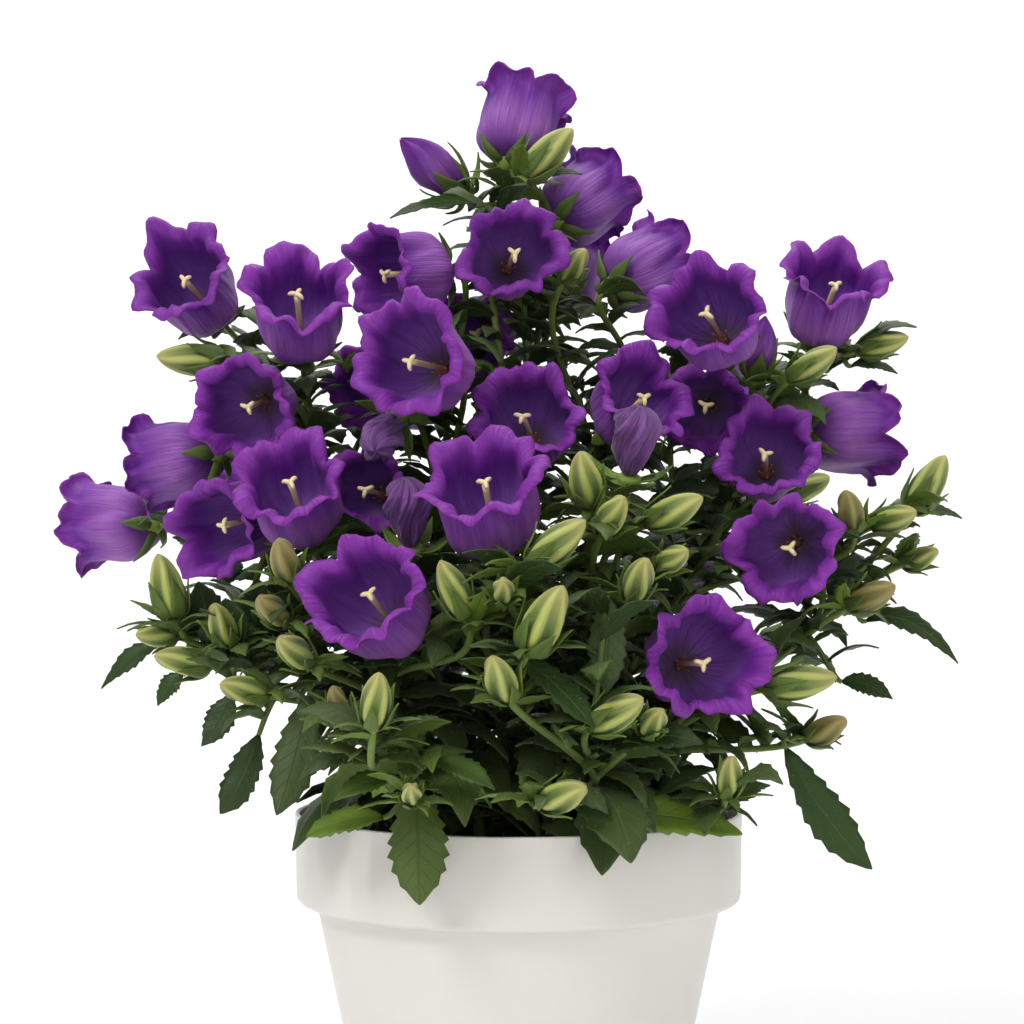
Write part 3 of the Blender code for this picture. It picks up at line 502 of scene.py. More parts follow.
def along(points: Array, share: float) -> Array:
    """The point at a share of the way along a line, counted by its points."""
    place = share * (len(points) - 1)
    index = min(int(place), len(points) - 2)
    return points[index] + (points[index + 1] - points[index]) * (place - index)


def resampled(points: Array, shares: Array) -> Array:
    """The points of a line at shares of its length."""
    lengths = np.concatenate([[0.0], np.cumsum(np.linalg.norm(np.diff(points, axis=0), axis=1))])
    wanted = shares * lengths[-1]
    return np.stack([np.interp(wanted, lengths, points[:, axis]) for axis in range(3)], axis=1)


def rolled(azimuth: float, roll: float) -> Array:
    """The direction across a leaf that points at an azimuth, turned about it by a roll."""
    return unit(azimuth + 90.0, roll)


def densely(points: Array, spacing: float) -> Array:
    """The line with points no further apart than the spacing."""
    count = max(2, int(line_length(points) / spacing) + 1)
    return resampled(points, np.linspace(0.0, 1.0, count))


def soil_height(radius: float) -> float:
    """The height of the domed soil at a distance from the axis."""
    dome = SOIL_DOME * max(0.0, 1.0 - (radius / SOIL_REACH) ** 2)
    return POT_HEIGHT - SOIL_EDGE_BELOW_RIM + dome


class Draft:
    """One piece's points, faces, finishes and surface values, gathered part by part."""

    def __init__(self) -> None:
        """Start with nothing."""
        self.points: list[Array] = []
        self.places: list[Array] = []
        self.tones: list[Array] = []
        self.faces: list[list[int]] = []
        self.finishes: list[int] = []
        self.count = 0

    def store(self, points: Array, places: Array, tone: float) -> int:
        """Keep points with their surface values.

        Args:
            points: The places in millimetres, one row each.
            places: Where each lies on its own surface, three numbers each.
            tone: The tone that all of them share.

        Returns:
            The number of the first of them.
        """
        first = self.count
        self.points.append(points)
        self.places.append(places)
        self.tones.append(np.full(len(points), tone))
        self.count += len(points)
        return first

    def add_tube(self, grid: Array, places: Array, finish: Finish, tone: float) -> None:
        """Add a closed skin from rings, with both ends capped.

        Args:
            grid: The rings, rows by columns by 3, turning anticlockwise seen from the last.
            places: The surface values, of the same shape.
            finish: The finish of the faces.
            tone: The tone of the points.
        """
        rows, columns, _ = grid.shape
        first = self.store(grid.reshape(-1, 3), places.reshape(-1, 3), tone)
        row = (np.arange(rows - 1) * columns)[:, None]
        column = np.arange(columns)
        beside = (column + 1) % columns
        above = row + columns
        corners = (row + column, row + beside, above + beside, above + column)
        faces = (np.stack(corners, axis=-1).reshape(-1, 4) + first).tolist()
        last = first + (rows - 1) * columns
        ends = self.store(
            np.stack([grid[0].mean(axis=0), grid[-1].mean(axis=0)]),
            np.stack([places[0].mean(axis=0), places[-1].mean(axis=0)]),
            tone,
        )
        for step in range(columns):
            beside = (step + 1) % columns
            faces.append([ends, first + beside, first + step])
            faces.append([ends + 1, last + step, last + beside])
        self.faces.extend(faces)
        self.finishes.extend([finish.value] * len(faces))

    def object(self, name: str, finishes: list[Material]) -> Object:
        """Make the mesh object.

        Args:
            name: The piece's name.
            finishes: The materials, in the order of Finish.

        Returns:
            The object, linked to the scene, with its place in its mesh.
        """
        mesh = bpy.data.meshes.new(name)
        mesh.from_pydata((np.concatenate(self.points) * MM).tolist(), [], self.faces)
        place = mesh.attributes.new("place", "FLOAT_VECTOR", "POINT")
        place.data.foreach_set("vector", np.concatenate(self.places).astype(np.float32).ravel())
        tone = mesh.attributes.new("tone", "FLOAT", "POINT")
        tone.data.foreach_set("value", np.concatenate(self.tones).astype(np.float32))
        used = sorted(set(self.finishes))
        for number in used:
            mesh.materials.append(finishes[number])
        slots = [used.index(number) for number in self.finishes]
        mesh.polygons.foreach_set("material_index", slots)
        mesh.polygons.foreach_set("use_smooth", [True] * len(self.faces))
        mesh.update()
        return new_object(name, mesh)


def tube_grid(points: Array, radii: Array, sides: int, ribs: float = 0.0) -> Array:
    """Rings round a line that don't twist.

    Args:
        points: The line.
        radii: A radius for each point.
        sides: The number of points in a ring.
        ribs: How much five soft ribs stand out, as a share of the radius.

    Returns:
        The rings, rows by sides by 3.
    """
    tangents = normalised(np.gradient(points, axis=0))
    side = np.array(Vector(tangents[0]).orthogonal().normalized())
    turns = full_turn(sides)
    wave = 1.0 + ribs * np.cos(LOBES * turns)
    rings = []
    for point, tangent, radius in zip(points, tangents, radii):
        side = side - tangent * side.dot(tangent)
        side /= np.linalg.norm(side)
        across = np.cross(tangent, side)
        ring = np.cos(turns)[:, None] * side + np.sin(turns)[:, None] * across
        rings.append(point + ring * (radius * wave)[:, None])
    return np.array(rings)


def ring_places(
    rows: int, columns: int, across: Array | float = 0.0, low: float = 0.0, high: float = 1.0
) -> Array:
    """Surface values for rings: a share across, a share that runs from low to high, and 0."""
    places = np.zeros((rows, columns, 3))
    places[..., 0] = across
    places[..., 1] = low + (high - low) * np.linspace(0.0, 1.0, rows)[:, None]
    return places


@dataclass
class Bell:
    """An open bell flower with its wall, five lobes and curled margin."""

    width: float
    seed: str
    columns: int = 80
    rows: int = 26
    wall: float = 0.6
    sinus: float = 35.4
    lobe: float = 8.0
    lobe_spread: float = 1.8
    point: float = 1.6
    notch_span: float = 4.6
    lobe_span: float = 3.8
    curl: float = 114.0
    curl_spread: float = 38.0
    folds: tuple[Point, ...] = (
        (2, 0.9, 0.4),
        (3, 0.8, 1.1),
        (7, 0.95, 2.3),
        (11, 0.8, 3.1),
        (19, 0.4, 1.4),
    )
    profile: Knots = (
        (0.0, 2.6),
        (0.5, 5.4),
        (1.6, 9.0),
        (3.4, 11.8),
        (6.5, 14.0),
        (11.0, 15.2),
        (17.0, 15.4),
        (23.0, 15.1),
        (29.0, 14.8),
        (44.0, 15.2),
    )
    draws: random.Random = field(init=False)

    def __post_init__(self) -> None:
        """Seed the draws by the bloom's name."""
        self.draws = random.Random(f"{self.seed}bell")

    def base_line(self) -> tuple[Array, Array, Array]:
        """The wall's line before it curls: its lengths, radii and heights."""
        steps = np.linspace(0, len(self.profile) - 1, 120)
        heights, radii = (
            np.interp(steps, range(len(self.profile)), values) for values in zip(*self.profile)
        )
        kernel = np.ones(9) / 9
        for line in (heights, radii):
            before = 2 * line[0] - line[4:0:-1]
            after = 2 * line[-1] - line[-2:-6:-1]
            line[:] = np.convolve(np.concatenate([before, line, after]), kernel, "valid")
        steps = np.hypot(np.diff(heights), np.diff(radii))
        return np.concatenate([[0.0], np.cumsum(steps)]), radii, heights

    def lobe_values(self, middle: float, spread: float, position: Array) -> Array:
        """A value that differs from lobe to lobe, blended at the notches."""
        values = np.array([middle + self.draws.uniform(-spread, spread) for _ in range(LOBES)])
        index = np.floor(position).astype(int) % LOBES
        local = np.abs(2 * (position - np.floor(position)) - 1)
        blend = np.clip(1.0 - local**3, 0.0, 1.0)
        return middle + (values[index] - middle) * blend

    def curled(
        self, shares: Array, position: Array, local: Array
    ) -> tuple[Array, Array]:
        """The wall as lines from floor to margin, each with its end curled outwards.

        Args:
            shares: The share of the way to the margin of each row.
            position: The lobe that each column lies in, with its share of it.
            local: 0 at a lobe's middle to 1 at a notch, for each column.

        Returns:
            The radii and the heights, rows by columns.
        """
        fullness = np.clip(1.0 - local**2, 0.0, 1.0) ** 0.72
        point = self.point * (1.0 - local) ** 3
        lobes = self.lobe_values(self.lobe, self.lobe_spread, position)
        reach = self.sinus + lobes * np.maximum(fullness, 0.04) + point
        span = self.notch_span + self.lobe_span * fullness
        curl = self.lobe_values(self.curl, self.curl_spread, position)
        curl = np.radians(curl * (0.66 + 0.34 * fullness))
        lengths, base_radii, base_heights = self.base_line()
        fine = np.linspace(0.0, 1.0, 25)
        radii = np.zeros((self.rows, self.columns))
        heights = np.zeros((self.rows, self.columns))
        for column in range(self.columns):
            travelled = shares * reach[column]
            start = reach[column] - span[column]
            plain = np.minimum(travelled, start)
            over = np.clip((travelled - start) / span[column], 0.0, 1.0)
            angle = 0.08 + curl[column] * fine**1.25
            step = span[column] / (len(fine) - 1)
            for grid, base, slope in (
                (radii, base_radii, np.sin(angle)),
                (heights, base_heights, np.cos(angle)),
            ):
                course = np.concatenate([[0.0], np.cumsum((slope[1:] + slope[:-1]) / 2)])
                grid[:, column] = np.interp(plain, lengths, base)
                grid[:, column] += np.interp(over, fine, course) * step
        return radii, heights

    def grid(self) -> tuple[Array, Array]:
        """The closed skin of the wall: up its outside and down its inside.

        Returns:
            The rings and their surface values: 0 at a lobe's middle to 1 at a notch, the
            share of the way to the margin, and 1 on the inside.
        """
        turns = full_turn(self.columns)
        position = turns / math.tau * LOBES
        local = np.abs(2 * (position - np.floor(position)) - 1)
        shares = np.linspace(0.0, 1.0, self.rows) ** 0.9
        radii, heights = self.curled(shares, position, local)
        share = shares[:, None]
        ribs = 0.75 * np.cos(LOBES * turns + math.pi) - 0.4 * np.exp(-((local / 0.07) ** 2))
        radii += ribs * np.sin(share * math.pi) ** 0.5
        for waves, size, rise in self.folds:
            phase = self.draws.uniform(0.0, math.tau)
            fold = np.arcsin(0.96 * np.sin(waves * turns + phase + rise * 2.2 * share)) / 1.3
            radii += 1.25 * size * share**1.8 * fold
            heights += 1.1 * size * share**4 * np.sin(waves * turns + 2.1 * phase)
        leaning = turns + math.radians(self.draws.uniform(-5, 5)) * share**2
        squash = 1.0 + self.draws.uniform(-0.07, 0.07)
        outer = round_grid(radii, leaning, heights) * (squash, 1.0 / squash, 1.0)
        outer *= self.width / BELL_WIDTH
        outer[0, :, 2] = 0.0
        around = np.roll(outer, -1, axis=1) - np.roll(outer, 1, axis=1)
        normals = normalised(np.cross(around, np.gradient(outer, axis=0)))
        inner = outer - normals * (self.wall * (1.0 - 0.45 * share**3))[..., None]
        inner[0] = outer[0] * (0.8, 0.8, 1.0) + UP * self.wall
        places = np.zeros((2, *outer.shape))
        places[..., 0] = local
        places[..., 1] = share
        places[1, ..., 2] = 1.0
        places = np.concatenate([places[0], places[1, ::-1]])
        return np.concatenate([outer, inner[::-1]]), places


@dataclass
class Pistil:
    """The style with its three curled arms, and the dried stamens at its foot."""

    length: float
    seed: str
    radius: float = 1.0
    arm: float = 2.3
    sides: int = 8
    thickness: Knots = ((0.0, 2.3), (0.12, 1.25), (0.3, 0.85), (0.8, 1.05), (1.0, 1.2))

    def dress(self, draft: Draft, matrix: Array) -> None:
        """Add the pistil to a draft, rooted in the bell's floor."""
        draws = random.Random(f"{self.seed}pistil")
        bend = np.array((draws.uniform(-1.6, 1.6), draws.uniform(-1.6, 1.6), 0.0))
        shares = np.linspace(0.0, 1.0, 10)[:, None]
        line = UP * (0.4 + shares * (self.length - self.arm * 0.4)) + bend * shares**2
        radii = self.radius * smooth(shares[:, 0], self.thickness)
        self.add_arm(draft, line, radii, matrix, (0.0, 1.0))
        for number in range(3):
            out = spoke(math.tau * number / 3 + draws.uniform(-0.3, 0.3))
            steps = np.linspace(0.0, 1.0, 7)[:, None]
            angle = steps * math.radians(draws.uniform(140, 200))
            curl = out * (1 - np.cos(angle)) * 0.75 + UP * np.sin(angle) * 0.6
            arm = line[-1] + self.arm * 0.62 * curl + out * steps * 0.8
            radii = self.radius * smooth(steps[:, 0], ((0.0, 0.95), (0.7, 0.8), (1.0, 0.45)))
            self.add_arm(draft, arm, radii, matrix, (1.0, 1.0))
        for number in range(LOBES):
            out = spoke(math.tau * (number + 0.5) / LOBES + draws.uniform(-0.25, 0.25))
            steps = np.linspace(0.0, 1.0, 6)[:, None]
            rise = UP * (0.7 + steps * draws.uniform(4.5, 6.5))
            stamen = out * (1.7 + steps**1.5) + rise
            self.add_arm(draft, stamen, np.linspace(0.5, 0.25, 6), matrix, (0.0, 0.25))

    def add_arm(
        self,
        draft: Draft,
        line: Array,
        radii: Array,
        matrix: Array,
        ends: tuple[float, float],
    ) -> None:
        """Add one rounded arm, whose surface value runs between its ends' values."""
        grid = tube_grid(moved(line, matrix), radii, self.sides)
        places = ring_places(len(line), self.sides, 0.0, *ends)
        draft.add_tube(grid, places, Finish.PISTIL, 0.5)


@dataclass
class ClosedBell:
    """A bell that is still furled, or has withered: pleated and drawn together."""

    width: float
    length: float
    seed: str
    withered: bool
    columns: int = 60
    rows: int = 30
    outline: Knots = (
        (0.0, 0.34),
        (0.06, 0.55),
        (0.22, 0.76),
        (0.45, 1.0),
        (0.62, 0.92),
        (0.8, 0.62),
        (0.92, 0.3),
        (1.0, 0.05),
    )
    limp: Knots = (
        (0.0, 0.3),
        (0.15, 0.6),
        (0.4, 0.86),
        (0.65, 1.0),
        (0.84, 0.86),
        (0.95, 0.5),
        (1.0, 0.12),
    )

    def dress(self, draft: Draft, matrix: Array) -> None:
        """Add the closed bell to a draft."""
        draws = random.Random(f"{self.seed}closed")
        turns = full_turn(self.columns)
        shares = np.linspace(0.0, 1.0, self.rows)[:, None]
        finish, outline, slim, twist = Finish.PETAL, self.outline, 0.82, 0.95
        if self.withered:
            finish, outline, slim, twist = Finish.SPENT, self.limp, 1.12, 1.7
        ridge = 0.5 + 0.5 * np.cos(LOBES * (turns - math.pi / LOBES))
        radii = slim * self.width / 2 * smooth(shares, outline)
        depth = 0.36 * np.sin(np.clip(shares, 0.02, 1.0) * math.pi) ** 0.4
        radii = radii * (1.0 - depth * (1.0 - ridge) ** 1.4)
        for waves in (8, 13, 21) if self.withered else ():
            phase = draws.uniform(0.0, math.tau) + 9.0 * shares * draws.uniform(0.4, 1.3)
            radii = radii * (1.0 + 0.09 * np.sin(waves * turns + phase))
        heights = shares * self.length * (1.0 - 0.05 * (1.0 - ridge) * shares**3)
        grid = round_grid(radii, turns + twist * shares**1.5, heights)
        places = ring_places(self.rows, self.columns, 1.0 - ridge)
        draft.add_tube(moved(grid, matrix), places, finish, draws.uniform(0.3, 0.8))


@dataclass(frozen=True)
class Blade:
    """A leaf or sepal: outline, teeth, fold and thickness along a midline."""

    width: float
    outline: Knots = (
        (0.0, 0.12),
        (0.12, 0.5),
        (0.3, 0.88),
        (0.5, 1.0),
        (0.72, 0.72),
        (0.9, 0.28),
        (1.0, 0.02),
    )
    teeth: int = 7
    tooth: float = 0.16
    fold: float = 0.2
    wave: float = 0.1
    thickness: float = 0.55
    columns: int = 3

    def dress(
        self, draft: Draft, line: Array, across: Array, tone: float, draws: random.Random
    ) -> None:
        """Add the blade to a draft.

        Args:
            draft: The draft it goes to.
            line: The midline from root to tip.
            across: The direction to the blade's own right.
            tone: 0 for an old dark leaf to 1 for a young bright one; for the broad leaves it is
                painted light and shade instead.
            draws: The source of its small irregularities.
        """
        if self.teeth:
            notches = np.arange(self.teeth + 1) / self.teeth
            points = (np.arange(self.teeth) + 0.72) / self.teeth
            shares = np.sort(np.concatenate([notches, points]))
            toothed = np.isin(shares, points)
        else:
            shares = np.linspace(0.0, 1.0, 9)
            toothed = np.zeros(9, bool)
        middle = resampled(line, shares)
        ahead = normalised(np.gradient(middle, axis=0))
        right = normalised(across - ahead * (ahead @ across)[:, None])
        up = np.cross(right, ahead)
        half = self.width / 2 * smooth(shares, self.outline)
        x = np.linspace(-1.0, 1.0, 2 * self.columns + 1)
        jag = np.where(toothed, self.tooth, -0.4 * self.tooth)
        jag = jag * np.sin(np.pi * np.clip(shares, 0.03, 0.97)) ** 0.3
        spread = x * half[:, None] * (1.0 + x**6 * jag[:, None])
        phase = draws.uniform(0.0, math.tau)
        ripple = np.sin(shares * draws.uniform(9.0, 14.0) + phase)[:, None] * np.sign(x)
        ripple = self.wave * ripple * np.abs(x) ** 1.5
        lift = half[:, None] * (self.fold * np.abs(x) - 0.55 * self.fold * x**2 + ripple)
        upper = middle[:, None] + right[:, None] * spread[..., None] + up[:, None] * lift[..., None]
        midrib = 0.5 * np.exp(-((x / 0.16) ** 2)) * (1 - shares[:, None])
        depth = self.thickness * (1.0 - 0.6 * x**4) + midrib
        lower = upper - up[:, None] * depth[..., None]
        grid = np.concatenate([upper, lower[:, ::-1]], axis=1)
        places = np.zeros_like(grid)
        places[..., 0] = np.concatenate([x, x[::-1]])
        places[..., 1] = shares[:, None]
        places[:, : len(x), 2] = 1.0
        draft.add_tube(grid, places, Finish.LEAF, tone)


@dataclass
class Calyx:
    """The green cup under a bloom, with five open sepals."""

    share: float
    seed: str
    cup: Knots = ((-5.2, 1.25), (-4.4, 2.4), (-3.2, 3.7), (-2.0, 4.3), (-1.0, 3.9), (-0.35, 2.5))

    def dress(self, draft: Draft, matrix: Array) -> None:
        """Add the calyx to a draft."""
        draws = random.Random(f"{self.seed}calyx")
        add_cup(draft, matrix, self.cup)
        for turn in full_turn(LOBES):
            out = spoke(turn)
            reach = self.share * draws.uniform(0.95, 1.05)
            lift = draws.uniform(-0.8, 1.6)
            line = bezier(
                out * 3.4 - UP * 2.4,
                out * 8.0 * reach - UP * 3.0,
                out * 11.5 * reach - UP * 0.6,
                out * SEPAL_REACH * reach + UP * (SEPAL_RISE * self.share + lift),
                10,
            )
            across = -matrix[:3, :3] @ np.cross(UP, out)
            width = 5.6 * max(self.share, 0.7)
            blade = Blade(width, SEPAL_OUTLINE, 0, 0.0, 0.35, 0.05, 0.6, 2)
            blade.dress(draft, moved(line, matrix), across, draws.uniform(0.62, 0.85), draws)


def add_cup(draft: Draft, matrix: Array, knots: Knots) -> None:
    """Add a ribbed green cup whose heights and radii the knots give."""
    turns = full_turn(20)
    heights, radii = np.array(knots).T[..., None]
    grid = round_grid(radii * (1.0 + 0.05 * np.cos(2 * LOBES * turns)), turns, heights)
    places = ring_places(len(knots), len(turns), 0.0, 1.0, 1.0)
    draft.add_tube(moved(grid, matrix), places, Finish.STEM, 0.85)


def add_sepals(
    draft: Draft, matrix: Array, size: Point, outline: Knots, draws: random.Random
) -> None:
    """Add five sepals that hug a closed bud or bell.

    Args:
        draft: The draft they go to.
        matrix: Where the bud stands.
        size: The bud's radius and length, and its scale beside a full one.
        outline: The bud's outline.
        draws: The source of their small differences.
    """
    radius, length, scale = size
    steps = np.linspace(0.0, 1.0, 9)
    for number in range(LOBES):
        out = spoke(math.tau * (number + 0.5) / LOBES + draws.uniform(-0.1, 0.1))
        span = draws.uniform(0.5, 0.7)
        hug = radius * smooth(steps * span, outline) * 0.86 + 0.7
        hug[0] = 2.2 * scale
        flare = draws.uniform(0.8, 4.2) * steps**3
        line = out * (hug + flare)[:, None] + UP * (length * span * steps - 0.6)[:, None]
        blade = Blade(6.4 * scale, SEPAL_OUTLINE, 0, 0.0, -0.3, 0.04, 0.55, 2)
        across = -matrix[:3, :3] @ np.cross(UP, out)
        blade.dress(draft, moved(line, matrix), across, draws.uniform(0.7, 1.0), draws)


@dataclass
class BudHead:
    """A plump bud with five pale ridges and pointed sepals round its lower half."""

    size: float
    seed: str
    columns: int = 50
    rows: int = 20
    outline: Knots = (
        (0.0, 0.5),
        (0.08, 0.72),
        (0.22, 0.93),
        (0.42, 1.0),
        (0.62, 0.9),
        (0.8, 0.66),
        (0.93, 0.38),
        (1.0, 0.06),
    )

    def dress(self, draft: Draft, matrix: Array) -> None:
        """Add the bud and its sepals to a draft."""
        draws = random.Random(f"{self.seed}bud")
        radius = BUD_RADIUS * self.size
        length = BUD_LENGTH * self.size
        turns = full_turn(self.columns)
        shares = np.linspace(0.0, 1.0, self.rows)[:, None]
        ridge = np.abs(np.cos(LOBES / 2 * turns)) ** 1.5
        depth = 0.24 * np.sin(np.clip(shares, 0.05, 1.0) * math.pi) ** 0.5
        radii = radius * smooth(shares, self.outline) * (1.0 - depth * (1.0 - ridge))
        around = turns + draws.choice((-1, 1)) * 0.55 * shares**2
        grid = round_grid(radii, around, shares * length)
        places = ring_places(self.rows, self.columns, ridge)
        draft.add_tube(moved(grid, matrix), places, Finish.BUD, draws.uniform(0.0, 1.0))
        size = self.size
        cup = ((-2.6, 1.25), (-1.8, 2.2 * size), (-0.4, 3.4 * size), (1.2, 3.6 * size))
        add_cup(draft, matrix, cup)
        add_sepals(draft, matrix, (radius, length, size), self.outline, draws)


@dataclass(frozen=True)
class Route:
    """A stem's or stalk's course: a straight foot, if it has one, and a Bezier curve."""

    foot: Array | None
    start: Array
    first: Array
    second: Array
    end: Array

    def line(self, count: int) -> Array:
        """The points of the course, with count steps along its curve."""
        curve = bezier(self.start, self.first, self.second, self.end, count)
        return curve if self.foot is None else np.concatenate([self.foot[None], curve])

    def span(self) -> float:
        """The distance between the ends of its curve."""
        return float(np.linalg.norm(self.end - self.start))


def stem_foot(stem: Stem) -> Array:
    """The place of a stem's lower end in its hole."""
    x, y = stem.hole
    return np.array((x, y, soil_height(math.hypot(x, y)) - HOLE_DEPTH))


def stem_routes(stem: Stem) -> Iterator[Route]:
    """The courses that a stem may take."""
    foot = stem_foot(stem)
    collar = foot + UP * (HOLE_DEPTH + 2.0)
    top = np.array(stem.top, float)
    height = top[2] - foot[2]
    outward = np.array((top[0] - foot[0], top[1] - foot[1], 0.0))
    for bend in (0.0, 6.0, 12.0, 18.0, 26.0, 34.0):
        for turn in range(8 if bend else 1):
            shift = unit(turn * 45.0, 0.0) * bend
            rise = collar + UP * max(24.0, height * 0.38)
            bow = top - outward * 0.25 - UP * (height * 0.35) + shift
            yield Route(foot, collar, rise, bow, top)


def stalk_routes(stem_line: Array, end: Array, axis: Array) -> Iterator[Route]:
    """The courses that a stalk may take from a stem to a calyx or bud.

    Args:
        stem_line: The points of the stem's course as the frame has them.
        end: Where the stalk ends.
        axis: The direction that it arrives in.

    Yields:
        One course after another.
    """
    for share in (0.97, 0.9, 0.82, 0.74, 0.66, 0.58, 0.5, 0.42, 0.34, 0.26):
        start = along(stem_line, share)
        beyond = along(stem_line, min(share + 0.03, 1.0))
        ahead = normalised(beyond - along(stem_line, share - 0.03))
        span = float(np.linalg.norm(end - start))
        for pull in (0.42, 0.25, 0.62):
            for turn in (None, 0.0, 90.0, 180.0, 270.0):
                bow = np.zeros(3) if turn is None else unit(turn, 0.0) * (span * 0.22)
                leave = start + (ahead + normalised(end - start)) * (span * 0.22) + bow
                yield Route(None, start, leave, end - axis * (span * pull), end)


def leaf_line(
    root: Array, azimuth: float, rise: float, droop: float, length: float
) -> Array:
    """The midline of a leaf: it sets out at its rise and bends down by its droop."""
    steps = 10
    points = [root]
    for step in range(steps):
        angle = rise - droop * (step + 0.5) / steps
        points.append(points[-1] + unit(azimuth, angle) * (length / steps))
    return np.array(points)


class Surroundings:
    """The frame's solids and the leaves set so far, for finding clear places."""

    def __init__(self, nodes: dict[str, Object]) -> None:
        """Gather the frame's meshes in millimetres.

        Args:
            nodes: The frame's node objects by name.
        """
        points: list[Vector] = []
        faces: list[tuple[int, ...]] = []
        self.trees: dict[str, BVHTree] = {}
        for name, item in nodes.items():
            own = [corner.co / MM for corner in item.data.vertices]
            own_faces = [tuple(face.vertices) for face in item.data.polygons]
            self.trees[name] = BVHTree.FromPolygons(own, own_faces)
            faces.extend(tuple(corner + len(points) for corner in face) for face in own_faces)
            points.extend(own)
        self.solid = BVHTree.FromPolygons(points, faces)
        self.leaves: list[tuple[BVHTree, Array, Array]] = []
        low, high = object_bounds()
        self.low = np.array(low) / MM
        self.high = np.array(high) / MM

    def distances(self, node: str, points: Array) -> Array:
        """How far each point is from a node's surface."""
        tree = self.trees[node]
        return np.array([tree.find_nearest(Vector(point))[3] for point in points])

    def best(self, node: str, routes: list[Route], count: int) -> Route:
        """The course that the node's own mesh follows most closely."""

        def misfit(route: Route) -> float:
            """How far the course strays from the mesh."""
            line = densely(route.line(count), 4.0)
            skip = max(1, len(line) // 6)
            free = line[skip:-skip] if len(line) > 3 * skip else line
            return float(self.distances(node, free).max())

        return min(routes, key=misfit)

    def block(self, grid: Array) -> None:
        """Keep later leaves out of a closed surface of rings."""
        rows, columns, _ = grid.shape
        faces = []
        for row in range(rows - 1):
            for column in range(columns):
                here = row * columns + column
                beside = row * columns + (column + 1) % columns
                faces.append((here, beside, beside + columns, here + columns))
        corners = grid.reshape(-1, 3)
        tree = BVHTree.FromPolygons([Vector(corner) for corner in corners], faces)
        self.leaves.append((tree, corners.min(axis=0), corners.max(axis=0)))

    def clear_line(self, line: Array, reach: float) -> bool:
        """True where the line keeps its distance from every solid."""
        return not any(self.solid.find_nearest(Vector(point), reach)[0] for point in line)

    def try_leaf(
        self, line: Array, across: Array, width: float, outline: Knots
    ) -> bool:
        """Take a leaf's place if nothing crosses it and it stays in the frame's box.

        Args:
            line: The midline.
            across: The direction to the blade's own right.
            width: The greatest width.
            outline: The outline's knots.

        Returns:
            True where the place was free, which then is taken.
        """
        shares = np.array((0.16, 0.35, 0.55, 0.75, 0.92, 1.0))
        middle = resampled(line, shares)
        half = (width / 2 * smooth(shares, outline))[:, None] * across
        corners = np.concatenate([middle - half, middle + half])
        if (corners < self.low + 1.0).any() or (corners > self.high - 1.0).any():
            return False
        count = len(shares)
        faces = [(i, i + 1, i + 1 + count, i + count) for i in range(count - 1)]
        tree = BVHTree.FromPolygons([Vector(corner) for corner in corners], faces)
        if tree.overlap(self.solid):
            return False
        low, high = corners.min(axis=0), corners.max(axis=0)
        for other, other_low, other_high in self.leaves:
            near = (low < other_high).all() and (high > other_low).all()
            if near and tree.overlap(other):
                return False
        self.leaves.append((tree, low, high))
        return True


